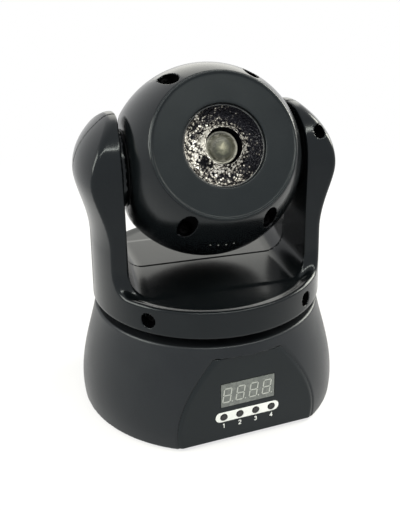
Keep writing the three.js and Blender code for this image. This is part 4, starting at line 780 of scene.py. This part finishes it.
print("arm radius at the bulge", round(float(yoke_curve[:, 0].max()), 1))

# %% [markdown]
# Each half is the shell cut off a hairline from the middle plane, so a fine seam shows all round. Both come from one
# formula, with the side as a sign, and the faces inside the screw wells get the painted shade of the wells: dull
# black with no sheen.

# %% Skin both halves of the yoke
for half, side in (("front", -1), ("rear", 1)):
    near, far = sorted((side * SPLIT, side * 65.6))
    moulded(f"yoke_{half}_skin", lambda x, y, z: both(yoke_shell(x, y, z), SPLIT - side * y, 0.2),
            (-72.5, near, DRUM_FLOOR), (72.5, far, 172), YOKE_CELL, shell_abs, "yoke", "shell",
            [f"yoke_{half}_shell"], yoke_wells)

# %% [markdown]
# The head is a ball whose front narrows to the round face, with two flat
# cheeks where the axles come out. It is split round its middle. Four deep
# screw wells run along the axis of the head, as the mould opens, so on the
# sloping shoulder each opens as a longer oval. The rear half has slots that
# let the fan's air out.

# %% The forms of the head
HEAD_RADIUS, FACE_LEVEL, CHEEK, HEAD_WALL = 52.4, 47.6, 44.9, 2.2
LEDGE, FACE_SEAT, FACE_HOLE = 45.3, 36.95, 34.4
HEAD_SCREW_CIRCLE, HEAD_SCREW_ANGLES, HEAD_WELL, HEAD_WELL_FLOOR = 43.4, (60, 120, 240, 300), 4.3, 27.0
AXLE_HOLE, DISC_RECESS, RECESS_FLOOR = 9.5, 20.8, 43.6
AIR_SLOTS, SLOT_CIRCLE, SLOT_WIDTH = (-16, -8, 0, 8, 16), 24, 3.0
head_curve = curve((HEAD_RADIUS, 0), (HEAD_RADIUS, 19.33), (44.63, 37.22), (37.6, FACE_LEVEL))
head_wall = wall_of(np.vstack([[[HEAD_RADIUS, -1.0]], head_curve, [[33.0, 54.0]]]))


def head_form(x, y, z, inset, front, edge):
    """A ball below the middle, the shoulder above it, and two flat cheeks."""
    r = np.hypot(x, y)
    ball = np.where(z > 0, head_wall(r, z), np.hypot(r, z) - HEAD_RADIUS) + inset
    return both(both(ball, np.abs(x) - (CHEEK - inset), 2.2 * edge), z - front, 0.8 * edge)


def shoulder_rods(x, y, z, radius=HEAD_WELL, low=HEAD_WELL_FLOOR):
    """Four rods along the head's axis, on a circle, at equal angles either side of X."""
    return ring_of_rods(x, y, z, HEAD_SCREW_CIRCLE, HEAD_SCREW_ANGLES, radius, low, 60)


def head_shell(x, y, z):
    """The ball less its hollow, with bosses and wells for the screws and the axle holes."""
    outer = head_form(x, y, z, 0.0, FACE_LEVEL, 1.0)
    room = head_form(x, y, z, HEAD_WALL, LEDGE - 1.5, 0.0)
    room = without(room, shoulder_rods(x, y, z, 5.9, 25.4))
    body = without(outer, room)
    body = without(body, rod(x, y, z, FACE_HOLE, 0, 60), 0.2)
    body = without(body, rod(x, y, z, FACE_SEAT, LEDGE, 60), 0.25)
    body = without(body, both(np.hypot(y, z) - AXLE_HOLE, slab(np.abs(x), 30, 60)), 0.4)
    body = without(body, both(np.hypot(y, z) - DISC_RECESS, RECESS_FLOOR - np.abs(x)), 0.2)
    return without(body, shoulder_rods(x, y, z), 0.35)


def head_front(x, y, z):
    """The half with the face."""
    return both(head_shell(x, y, z), SPLIT - z, 0.3)


def head_rear(x, y, z):
    """The half behind, with five slots within a circle."""
    body = both(head_shell(x, y, z), z + SPLIT, 0.3)
    for across in AIR_SLOTS:
        half = math.sqrt(SLOT_CIRCLE ** 2 - across ** 2)
        body = without(body, np.maximum(lozenge(x - across, y, SLOT_WIDTH, 2 * half, 1.4), z + 30), 0.4)
    return body


print("shoulder radius at the face", head_curve[-1, 0])

# %% [markdown]
# The halves of the head are skinned in the same way. Their formulas differ,
# because only the rear one has slots. The front one gets the smallest cells,
# because it is what the eye rests on.

# %% Skin both halves of the head
moulded("head_front_skin", head_front, (-45.0, -52.5, SPLIT), (45.0, 52.5, FACE_LEVEL), HEAD_CELL, shell_abs,
        "head", "shell", ["head_front_shell"], shoulder_rods)
moulded("head_rear_skin", head_rear, (-45.0, -52.5, -52.5), (45.0, 52.5, -SPLIT), HEAD_REAR_CELL, shell_abs,
        "head", "shell", ["head_rear_shell"])

# %% [markdown]
# The face is a turned plate with a thin raised bead at its rim and a round
# opening with a soft lip. Every round part like this is one profile of radius
# and height carried round the axis in many steps, with small quarter rounds at
# its corners, because a corner without one never catches the light.

# %% Face plate
LENS_OPENING, FACE_RADIUS = 21.3, 36.88
face = [(LENS_OPENING, 45.6), (FACE_RADIUS - 0.2, 45.6), (FACE_RADIUS, 45.8), (FACE_RADIUS, 47.2)]
face += [(FACE_RADIUS + 0.75 * math.cos(a), 47.4 + 0.8 * math.sin(a)) for a in np.linspace(-0.3, math.pi - 0.3, 11)]
face += [(FACE_RADIUS - 1.3, 47.6), (FACE_RADIUS - 2.2, 47.6)]
face += [(r, 47.6) for r in np.linspace(33, LENS_OPENING + 1.6, 8)]
face += [(LENS_OPENING + 0.6 - 0.6 * math.sin(a), 47.0 + 0.6 * math.cos(a)) for a in np.linspace(0, math.pi / 2, 6)]
face += [(LENS_OPENING, 45.6)]
piece("face_ring", *spun(face, 192), panel_abs, "head", "shell", ["face_plate"])

# %% [markdown]
# The optic is a deep clear cone that throws the light forwards by reflection from its pebbled flank. Seen through its
# front, each pebble is a small mirror with its own tilt, so some are bright and their neighbours dark. The bowl here
# is a grid of radius and angle, dented by small waves that cross. Those reflections are painted into its colour: a
# cell pattern gives each pebble its own painted brightness, with painted light towards the left and in a ring round
# the middle, and painted shade in a hollow by the dome.

# %% Pebbled bowl of the optic
LENS_FRONT, LENS_RADIUS, WELL_RADIUS = 46.5, 20.9, 9.2
PEBBLE, BOWL_DIP, DENT = 1.1, 5.2, 0.22
# Where the ring of painted light and the hollow of painted shade have their middles, in mm of the head.
PAINTED_LIGHT_MIDDLE, PAINTED_SHADE_MIDDLE = (0, 0, 43), (-8.9, -6.3, 42)


def towards(tree, coords, direction, reach):
    """The share of the way from the head's middle towards a direction of the head, -1 to 1 over the reach."""
    way = head_place.to_3x3() @ Vector(direction).normalized()
    start = head_place.translation * MM
    along = add(tree, "VectorMath", {0: coords, 1: tuple(way)}, operation="DOT_PRODUCT")
    return add(tree, "MapRange", {"Value": (along, "Value"), "From Min": start.dot(way) - reach * MM,
                                  "From Max": start.dot(way) + reach * MM, "To Min": -1.0, "To Max": 1.0}), "Result"


def from_point(tree, coords, point, near, far, first, last):
    """A value that runs from the first to the last between two distances in mm from a point of the head."""
    centre = (head_place @ Vector(point)) * MM
    away = add(tree, "VectorMath", {0: coords, 1: tuple(centre)}, operation="DISTANCE")
    return add(tree, "MapRange", {"Value": (away, "Value"), "From Min": near * MM, "From Max": far * MM,
                                  "To Min": first, "To Max": last}), "Result"


def pebbled_painted_reflections():
    """Each cell has a tone; a side of painted light, clouds, a ring of painted light and a hollow of painted shade
    shift it, and a ramp turns the sum into a colour that stands for the pebbles' reflections.
    """
    material, tree, coords, shader = new_finish("pebbled_optic_painted_reflections")
    wobble = add(tree, "TexNoise", {"Vector": coords, "Scale": 1 / (4 * MM), "Detail": 1.0})
    moved = add(tree, "MixRGB", {"Fac": 0.0016, "Color1": coords, "Color2": (wobble, "Color")}, blend_type="ADD")
    cells = add(tree, "TexVoronoi", {"Vector": (moved, "Color"), "Scale": 1 / (PEBBLE * MM)})
    shade = add(tree, "SeparateColor", {"Color": (cells, "Color")})
    clouds = add(tree, "TexNoise", {"Vector": coords, "Scale": 1 / (7 * MM), "Detail": 2.0})
    # Painted light and shade: lighter towards the left of the head and in a ring round the middle, darker in a hollow
    # beside the dome.
    side = towards(tree, coords, (-0.93, -0.37, 0), LENS_RADIUS)
    field = (add(tree, "Math", {0: side, 1: 0.54, 2: (clouds, "Fac")}, operation="MULTIPLY_ADD"), "Value")
    for region in (from_point(tree, coords, PAINTED_LIGHT_MIDDLE, 11, 16.5, 0.72, 0.06),
                   from_point(tree, coords, PAINTED_SHADE_MIDDLE, 1.5, 5.4, -0.95, 0.0)):
        field = (add(tree, "Math", {0: field, 1: region}, operation="ADD"), "Value")
    mixed = (add(tree, "Math", {0: (shade, "Red"), 1: 1.3, 2: field}, operation="MULTIPLY_ADD"), "Value")
    domed = (add(tree, "Math", {0: (cells, "Distance"), 1: -0.9, 2: mixed}, operation="MULTIPLY_ADD"), "Value")
    half = (add(tree, "Math", {0: domed, 1: 0.5}, operation="MULTIPLY"), "Value")
    edge = add(tree, "Bump", {"Height": (cells, "Distance"), "Distance": 0.35 * MM, "Strength": 1.0}, invert=True)
    fill(tree, shader, {"Base Color": shades(tree, half, (0.4, "#0e0f16"), (0.5, "#2b2b2e"), (0.62, "#75716c"),
                                             (0.73, "#bdb9b2"), (0.84, "#fffdf8")),
                        "Normal": (edge, "Normal"), "Metallic": 0.45, "Specular IOR Level": 0.2, "Roughness": 0.2})
    return material


def bowl(steps=44, sides=300):
    """Radius runs from the well to the rim. The height dips between them by half a wave, and the dents fade out
    towards both edges."""
    share = np.linspace(0, 1, steps)[:, None]
    angle = np.linspace(0, 2 * np.pi, sides + 1)[None, :-1]
    radius = WELL_RADIUS + 0.4 + share * (LENS_RADIUS - WELL_RADIUS - 0.8) + 0 * angle
    dip = BOWL_DIP * np.sin(np.pi * share) ** 0.8
    dent = DENT * np.sin(radius * 4.6 + 2.1 * np.sin(angle * 9)) * np.sin(angle * 46 + 3 * np.sin(radius * 0.9))
    height = LENS_FRONT - 0.9 - dip + dent * np.sin(np.pi * share)
    top = np.stack([radius * np.cos(angle), radius * np.sin(angle), height], axis=-1)
    under = top.copy()
    under[..., 2] = LENS_FRONT - 7.5
    grid = np.concatenate([top, under[::-1]])
    rows = len(grid)
    a = np.arange(rows)[:, None] * sides
    b = (np.arange(rows) + 1)[:, None] % rows * sides
    i, j = np.arange(sides)[None], ((np.arange(sides) + 1) % sides)[None]
    faces = np.stack([a + i, b + i, b + j, a + j], axis=-1).reshape(-1, 4)
    return grid.reshape(-1, 3), faces


piece("lens_pebbles", *bowl(), pebbled_painted_reflections(), "head", "lens", ["tir_lens"])

# %% [markdown]
# In the middle a small dome stands deep in a well, cast in one with the optic and slightly milky. The wall of the
# well is painted dull black as painted shade, the ring of shadow round the dome. The dome is a spun profile, and its
# colour carries painted light and shade: lighter in the middle, as if the source behind it showed through, dark in a
# ring round it, and lighter again at the edge.

# %% Central dome, its well and the rim of the optic


def painted_light_dome():
    """The distance from the dome's top mixes greys as painted light and shade: pale in the middle, dark round it,
    pale again at the edge.
    """
    material, tree, coords, shader = new_finish("milky_acrylic_dome_painted_light")
    noise = add(tree, "TexNoise", {"Vector": coords, "Scale": 1 / (5 * MM), "Detail": 4.0, "Distortion": 2.5})
    spread = from_point(tree, coords, (0, 0, 41.8), 0.0, 10.5, 0.0, 1.0)
    drift = (add(tree, "Math", {0: (noise, "Fac"), 1: 0.5}, operation="MULTIPLY"), "Value")
    total = (add(tree, "Math", {0: spread, 1: drift}, operation="ADD"), "Value")
    bump = add(tree, "Bump", {"Height": (noise, "Fac"), "Distance": 0.1 * MM})
    fill(tree, shader, {"Base Color": shades(tree, total, (0.28, "#aaa894"), (0.45, "#6b6c5d"), (0.64, "#33352b"),
                                             (0.85, "#5a5a4e"), (1.0, "#b0afa5")),
                        "Normal": (bump, "Normal"), "Roughness": 0.4, "IOR": 1.49})
    return material


# The profile climbs the dome's side, rounds a small bead, and goes over the top.
dome = [(0, 34.0), (8.5, 34.0), (8.5, 39.8)]
dome += [(8.15 + 0.35 * math.cos(a), 39.8 + 0.5 * math.sin(a)) for a in np.linspace(0, math.pi * 0.8, 6)]
dome += [(7.6 * math.cos(a), 39.5 + 2.5 * math.sin(a)) for a in np.linspace(0.15, math.pi / 2 - 0.08, 10)]
dome += [(0, 42.0)]
piece("lens_dome", *spun(dome, 96), painted_light_dome(), "head", "lens")
# The wall of the lens well is painted shade: dull black with no sheen, for the ring of shadow round the dome.
well = [(8.6, 34.2), (9.9, 34.2), (9.9, 44.6), (9.7, 45.0), (9.4, 44.7), (9.1, 37.0), (8.6, 37.0), (8.6, 34.2)]
piece("lens_well", *spun(well, 96), well_painted_shade, "head", "inner_plastic")
# Glassy acrylic rim: the outermost ring of the optic, dark and smooth.
clear_rim = grained("glassy_acrylic_rim", "#141619", "#45484a", (0.12, 0.2), 0.9, 0.01, 2.0)
rim = [(20.35, 39.0), (21.25, 39.0), (21.25, 45.4), (21.1, 45.6), (20.5, 45.6), (20.35, 45.4), (20.35, 39.0)]
piece("lens_rim", *spun(rim, 160), clear_rim, "head", "lens")

# %% [markdown]
# The axle discs between the cheeks and the arms are dark anodised, and one
# profile serves both sides: it is turned to point along X, right or left.

# %% Axle discs
axle = [(3.7, 39.0), (9.2, 39.0), (9.2, 43.8), (20.1, 43.8), (20.5, 44.1), (20.5, 45.0), (20.1, 45.3),
        (5.7, 45.3), (5.7, 54.7), (3.7, 54.7), (3.7, 39.0)]
for side, degrees in (("right", 90), ("left", -90)):
    piece(f"axle_disc_{side}", *spun(axle, 96), black_anodised, "head", "aluminium", [f"tilt_axle_{side}"],
          head_place @ turn_about("Y", degrees))

# %% [markdown]
# Under the face four pinholes let a little light out. Such small holes would need a much finer skin, so each is a
# tiny milky plug, a spun dome that stands a hair out of the shell, square to it. The plugs' pale colour is painted
# light.

# %% Four pinholes
PIN_LEVEL, PIN_ANGLES = 25, (-100, -95, -90, -85)
pin_radius = np.interp(PIN_LEVEL, head_curve[:, 1], head_curve[:, 0])
shoulder_lean = np.gradient(head_curve[:, 0], head_curve[:, 1])
pin_lean = math.degrees(math.atan(np.interp(PIN_LEVEL, head_curve[:, 1], shoulder_lean)))
points, faces = spun([(0, -1.0), (0.36, -1.0), (0.36, 0.04), (0.25, 0.1), (0, 0.12)], 20)
pins = []
for degrees in PIN_ANGLES:
    spot = np.array(turn_about("Z", degrees) @ Matrix.Translation((pin_radius, 0, PIN_LEVEL))
                    @ turn_about("Y", 90 + pin_lean))
    pins.append((points @ spot[:3, :3].T + spot[:3, 3], faces))
# The pale resin of the plugs is painted light where the pinholes show bright.
piece("pinhole_painted_light_plugs", *merged(pins), segment_resin, "head", "lens")

# %% [markdown]
# Each screw sits deep in its well. Its black oxide has its sheen nearly taken away as painted shade, so only a dark
# glint shows. A pan head with a cross recess is a small distance formula: a flattened dome less two crossed slots.
# The same small mesh is placed once in each well, and later at the corners of the data sockets.

# %% Screws in their wells
# Black oxide on the screws, dull and nearly without a glint: its sheen is turned down as painted shade.
black_oxide_painted_shade = grained("black_oxide_screws_painted_shade", "#060607", "#09090a", (0.6, 0.7), 0.5, 0.01, 2.0, Specular_IOR_Level=0.02)


def screw_head(x, y, z):
    """A low dome, less two slots that cross."""
    r = np.hypot(x, y)
    head = both(r - 2.6, both(z - 1.5, np.hypot(r, z + 3.2) - 4.75, 0.2), 0.25)
    head = both(head, -z)
    cross = np.minimum(np.maximum(np.abs(x) - 0.35, np.abs(y) - 1.5), np.maximum(np.abs(y) - 0.35, np.abs(x) - 1.5))
    return without(head, np.maximum(cross, 0.55 - z), 0.05)


screw_points, screw_faces, screw_normals = skin(screw_head, (-2.7, -2.7, 0), (2.7, 2.7, 1.7), 0.26)


def screws(name, body, spots):
    """One mesh with a screw at each spot; a spot is a matrix in the body's own frame."""
    points, normals, faces = [], [], []
    for k, spot in enumerate(spots):
        turn, shift = np.array(spot)[:3, :3], np.array(spot)[:3, 3]
        points.append(screw_points @ turn.T + shift)
        normals.append(screw_normals @ turn.T)
        faces.append(screw_faces + k * len(screw_points))
    piece(name, np.vstack(points), np.vstack(faces), black_oxide_painted_shade, body, "plated", (), None, np.vstack(normals))


def turned_to(x, y, z, axis, degrees):
    """A place at the point, turned about one axis."""
    return Matrix.Translation((x, y, z)) @ turn_about(axis, degrees)


band_spots = [turn_about("Z", degrees) @ turned_to(BAND_DEPTH, 0, BAND_LEVEL, "Y", 90) for degrees in BAND_ANGLES]
arm_spots = [turned_to(ARM_SCREW, -ARM_WELL_FLOOR, ARM_SCREW_LEVEL, "X", 90),
             turned_to(-ARM_SCREW, ARM_WELL_FLOOR, ARM_SCREW_LEVEL, "X", -90)]
screws("yoke_screws", "yoke", band_spots + arm_spots)
head_spots = [turn_about("Z", degrees) @ Matrix.Translation((HEAD_SCREW_CIRCLE, 0, HEAD_WELL_FLOOR))
              for degrees in HEAD_SCREW_ANGLES]
screws("head_screws", "head", head_spots)

# %% [markdown]
# The rear panel is folded steel with a powder coat. It is a plate as wide as
# the flat behind, with one hole each for the mains inlet and the fuse and two
# for the data sockets.

# %% Rear panel
SOCKET_X, SOCKET_LEVEL = 27.2, 20.0


def rear_panel(x, y, z):
    """The plate at the rear, with the holes of the inlet, the data sockets and the fuse."""
    plate = panel_plate(x, y, z, REAR_SEAT, REAR)
    plate = without(plate, lozenge(x, z - SOCKET_LEVEL, 25, 19, 3.0), 0.15)
    for across in (-SOCKET_X, SOCKET_X):
        plate = without(plate, np.hypot(x - across, z - SOCKET_LEVEL) - 11.0, 0.15)
    return without(plate, np.hypot(x, z - FUSE_LEVEL) - FUSE_HOLE, 0.15)


moulded("rear_panel_skin", rear_panel, (-50, REAR_SEAT, 2), (50, REAR, 54), (0.7, 0.35, 0.7), powder_coat, "base",
        "panel_steel", ["rear_panel"])

# %% [markdown]
# Sockets are fine mouldings with holes in several directions, so they are
# skinned from formulas too, with a small cell. The mains inlet has a mouth with
# two clipped corners and a groove round it, and three flat pins inside.

# %% Mains inlet


def power_inlet(x, y, z):
    """A flange with a deep mouth whose lower corners are clipped, and three flat pins."""
    up, out = z - SOCKET_LEVEL, y - REAR
    flange = both(lozenge(x, up, 28, 23, 3), slab(out, 0, 2), 0.5)
    body = both(lozenge(x, up, 24.6, 18.6, 3), slab(out, -21, 1))
    solid = either(flange, body)
    clip = (np.abs(x) - up - 13.6) / math.sqrt(2)
    mouth = both(both(lozenge(x, up, 21.6, 15.6, 0.8), clip, 0.6), -14 - out)
    rim = both(lozenge(x, up, 23.4, 17.4, 1.4), 1.45 - out)
    solid = without(without(solid, rim, 0.2), mouth, 0.3)
    for across, rise in ((-7, 2), (0, -2), (7, 2)):
        pin = both(lozenge(x - across, up - rise, 2, 4, 0.5), slab(out, -15, -3.5), 0.5)
        solid = np.minimum(solid, pin)
        tag = both(lozenge(x - across, up - rise, 4, 1, 0.2), slab(out, -25, -20))
        solid = np.minimum(solid, tag)
    return solid


moulded("mains_inlet", power_inlet, (-14, 32, 8.5), (14, 59, 31.5), 0.5, black_nylon, "base", "inner_plastic",
        ["power_inlet"])

# %% [markdown]
# The data sockets are plated. One has three pins in a wide mouth and the other
# three holes in a round core, with a latch above. Each flange has two screws,
# in opposite corners.

# %% Data sockets
# How far the flange's screws stand from its middle, across and up; the circle and the angles of the contacts.
FLANGE_SCREW, CONTACTS = (9.5, 11.5), (3.8, (90, 210, 330))


def socket_body(x, up, out):
    """A flange with round corners, a round shell behind it and two screw holes."""
    flange = both(lozenge(x, up, 25, 29, 3), slab(out, 0, 2), 0.5)
    body = either(flange, rod(x, up, out, 10.8, -19, 1))
    for side in (-1, 1):
        body = without(body, np.hypot(x - side * FLANGE_SCREW[0], up + side * FLANGE_SCREW[1]) - 1.6, 0.7)
    return body


def data_input(x, y, z):
    """The socket with pins: a wide mouth with a key at its foot, and three round pins."""
    across, up, out = -(x - SOCKET_X), z - SOCKET_LEVEL, y - REAR
    body = without(socket_body(across, up, out), rod(across, up, out, 8.2, -13.5, 5), 0.3)
    key = np.maximum(np.maximum(np.abs(across) - 1.2, slab(up, -9, -6.9)), slab(out, -13.5, 0))
    return np.minimum(np.minimum(body, key), ring_of_rods(across, up, out, *CONTACTS, 1.2, -15, -3.0, 0.6))


def data_output(x, y, z):
    """The socket with holes: a core in a round moat, three holes, and a latch above it."""
    across, up, out = -(x + SOCKET_X), z - SOCKET_LEVEL, y - REAR
    moat = both(slab(np.hypot(across, up), 7.2, 9.2), -13.5 - out)
    body = without(socket_body(across, up, out), moat, 0.3)
    body = without(body, ring_of_rods(across, up, out, *CONTACTS, 1.2, -13.5, 5), 0.3)
    latch = both(lozenge(across, up - 12.25, 6.2, 4.1, 0.8), slab(out, 1, 4), 0.6)
    return np.minimum(body, latch)


moulded("data_input_socket", data_input, (14.5, 36, 5), (40, 59, 35), 0.5, nickel, "base", "plated", ["dmx_input"])
moulded("data_output_socket", data_output, (-40, 36, 5), (-14.5, 61.2, 35), 0.5, nickel, "base", "plated",
        ["dmx_output"])
rear_spots = [turned_to(x + side * FLANGE_SCREW[0], REAR + 1.6, SOCKET_LEVEL + side * FLANGE_SCREW[1], "X", -90)
              for x in (-SOCKET_X, SOCKET_X) for side in (1, -1)]
screws("socket_screws", "base", rear_spots)

# %% [markdown]
# The fuse sits above the inlet behind a round knob. A wave round the knob's
# side, one crest for each rib, is added to its radius.

# %% Fuse holder


def fuse_cap(x, y, z):
    """A body, a collar on the panel and a ribbed knob with a slot for a screwdriver."""
    up, out = z - FUSE_LEVEL, y - REAR
    r, turn = np.hypot(x, up), np.arctan2(up, x)
    body = np.minimum(rod(x, up, out, 5.04, -22, -3), rod(x, up, out, 6.3, -4, 0.2))
    body = np.minimum(body, rod(x, up, out, 7.5, 0, 1.2, 0.3))
    knob = both(r - 5.55 - 0.14 * np.cos(24 * turn), slab(out, 0, 6), 0.7)
    slot = np.maximum(np.abs(up) - 0.6, 4.8 - out)
    return np.minimum(body, without(knob, slot, 0.15))


moulded("fuse_cap", fuse_cap, (-7.6, 35, 36.4), (7.6, 63.1, 51.6), 0.34, black_nylon, "base", "inner_plastic",
        ["fuse_holder"])

# %% [markdown]
# Four rubber feet are spun from one profile. Their soft edges are wide, and a
# stem with a barb goes up through the plate.

# %% Feet
FOOT_CIRCLE, FOOT_ANGLES = 55, (30, 150, 210, 330)
foot = [(0, 0)] + corner(5.3, 0.7, 0.7, -90)[:-1] + [(6.0, 0.7), (6.0, 3.0), (2.0, 3.0), (2.0, 4.7), (2.8, 4.7),
                                                      (1.0, 6.2), (0, 6.2)]
points, faces = spun(foot, 48)
for k, turn in enumerate(np.radians(FOOT_ANGLES)):
    spot = (FOOT_CIRCLE * math.cos(turn), FOOT_CIRCLE * math.sin(turn), 0)
    piece(f"rubber_foot_{k + 1}", points + spot, faces, foot_rubber, "base", "rubber", [f"foot_{k + 1}"])

# %% [markdown]
# What stays inside keeps its solid's shape and gets the finish of the real
# material. The solids are loose triangles that already face outwards, so
# only their material slots are filled.

# %% Finishes of the inner solids
# Each inner solid is paired with the finish of what it is made of.
inner_finishes = {
    "display_module": segment_resin, "control_board": solder_mask, "base_plate": powder_coat,
    "main_board": solder_mask, "power_supply": solder_mask, "pan_bearing": ground_steel,
    "pan_shaft": milled_aluminium, "pan_pulley": milled_aluminium, "pan_motor_pulley": milled_aluminium,
    "pan_motor_shaft": ground_steel, "pan_motor": zinc_plate, "pan_motor_bracket": zinc_plate,
    "pan_belt": foot_rubber, "yoke_frame": zinc_plate, "tilt_bearing_left": ground_steel,
    "tilt_bearing_right": ground_steel, "tilt_gear": ground_steel, "tilt_pinion": ground_steel,
    "tilt_motor": zinc_plate, "lens_holder": black_nylon, "led_board": milled_aluminium,
    "heatsink": milled_aluminium, "head_cradle": zinc_plate, "fan_frame": black_nylon, "fan_rotor": black_nylon,
}
for name, finish in inner_finishes.items():
    nodes[name].data.materials.clear()
    nodes[name].data.materials.append(finish)
print("inner solids", len(inner_finishes))

# %% [markdown]
# The floor is plain and pale. The photograph has a pure white ground, so rays
# that come straight from the camera, and those that metal, gloss and glass
# send on, see white in the world, while the light on the object stays even
# and soft. The floor keeps the object's shadow.

# %% Floor and world
scene = bpy.context.scene
scene.view_settings.view_transform = "Standard"
# Strength of the world where it lights the object.
SOFT_LIGHT = 0.42
# The floor's share of white at the near distance from the middle, in metres; from the far one on it is all white.
NEAR, FAR, NEAR_WHITE, FLOOR_REACH = 0.12, 0.5, 0.72, 6.0


def seen_directly(tree):
    """1 for rays from the camera and those that gloss or glass sends on, and 0 for the rest."""
    path = add(tree, "LightPath")
    seen = add(tree, "Math", {0: (path, "Is Camera Ray"), 1: (path, "Is Glossy Ray")}, operation="MAXIMUM")
    return add(tree, "Math", {0: (seen, "Value"), 1: (path, "Is Transmission Ray")}, operation="MAXIMUM"), "Value"


def white_ground(world):
    """A world of strength 1 for rays that see it directly, and a softer one for the rest."""
    world.use_nodes = True
    tree = world.node_tree
    tree.nodes.clear()
    white = add(tree, "Background", {"Color": (1, 1, 1, 1), "Strength": 1.0})
    soft = add(tree, "Background", {"Color": linear("#f2f5f7"), "Strength": SOFT_LIGHT})
    mix = add(tree, "MixShader", {0: seen_directly(tree), 1: (soft, "Background"), 2: (white, "Background")})
    add(tree, "OutputWorld", {"Surface": (mix, "Shader")})


scene.world = bpy.data.worlds.new("white_ground")
white_ground(scene.world)


def floor_finish():
    """A pale floor that is seen as white, wholly so further out; near the object it keeps its shadow."""
    material, tree, coords, shader = new_finish("pale_floor")
    fine = add(tree, "TexNoise", {"Vector": coords, "Scale": 1 / (30 * MM), "Detail": 2.0})
    fill(tree, shader, {"Base Color": shades(tree, (fine, "Fac"), (NOISE_LOW, "#fbfbfa"), (NOISE_HIGH, "#ffffff")),
                        "Roughness": 0.9, "Specular IOR Level": 0.1})
    away = add(tree, "VectorMath", {0: coords}, operation="LENGTH")
    white = add(tree, "MapRange", {"Value": (away, "Value"), "From Min": NEAR, "From Max": FAR, "To Min": NEAR_WHITE})
    share = add(tree, "Math", {0: seen_directly(tree), 1: (white, "Result")}, operation="MULTIPLY")
    glow = add(tree, "Emission", {"Color": (1, 1, 1, 1), "Strength": 1.0})
    mix = add(tree, "MixShader", {0: (share, "Value"), 1: (shader, "BSDF"), 2: (glow, "Emission")})
    fill(tree, tree.nodes["Material Output"], {"Surface": (mix, "Shader")})
    return material


floor_mesh = bpy.data.meshes.new("floor")
floor_mesh.from_pydata([(FLOOR_REACH * x, FLOOR_REACH * y, 0) for x, y in ((-1, -1), (1, -1), (1, 1), (-1, 1))], [],
                       [(0, 1, 2, 3)])
floor_mesh.materials.append(floor_finish())
floor = bpy.data.objects.new("floor", floor_mesh)
scene.collection.objects.link(floor)

# %% [markdown]
# Two wide soft lights stand left and right, and give the pale rims along both
# sides of the base and the arms. A long thin strip above and in front draws
# the bright lines on round edges, and a weak one behind lights the rear. Wide
# lights make soft edges on satin plastic, and a thin one makes sharp lines.

# %% Studio lights
# The faint warm green of the diffusers, and the place that all lights face, in metres.
DIFFUSER, AIM = (1.0, 0.98, 0.86), Vector((0, 0, 0.1))


def softbox(name, place, width, height, power):
    """An area light that faces the middle of the object."""
    data = bpy.data.lights.new(name, "AREA")
    data.color = DIFFUSER
    data.shape, data.size, data.size_y, data.energy = "RECTANGLE", width, height, power
    lamp = bpy.data.objects.new(name, data)
    lamp.location = place
    lamp.rotation_mode = "QUATERNION"
    lamp.rotation_quaternion = (AIM - Vector(place)).to_track_quat("-Z", "Y")
    scene.collection.objects.link(lamp)


softbox("left_softbox", (-0.95, 0.0, 0.6), 0.6, 0.6, 11.0)
softbox("right_softbox", (0.95, 0.2, 0.5), 0.6, 0.6, 13.5)
softbox("top_strip", (0.15, -0.55, 1.0), 1.3, 0.08, 8.0)
softbox("back_softbox", (0.45, 1.2, 0.6), 0.8, 0.8, 2.0)
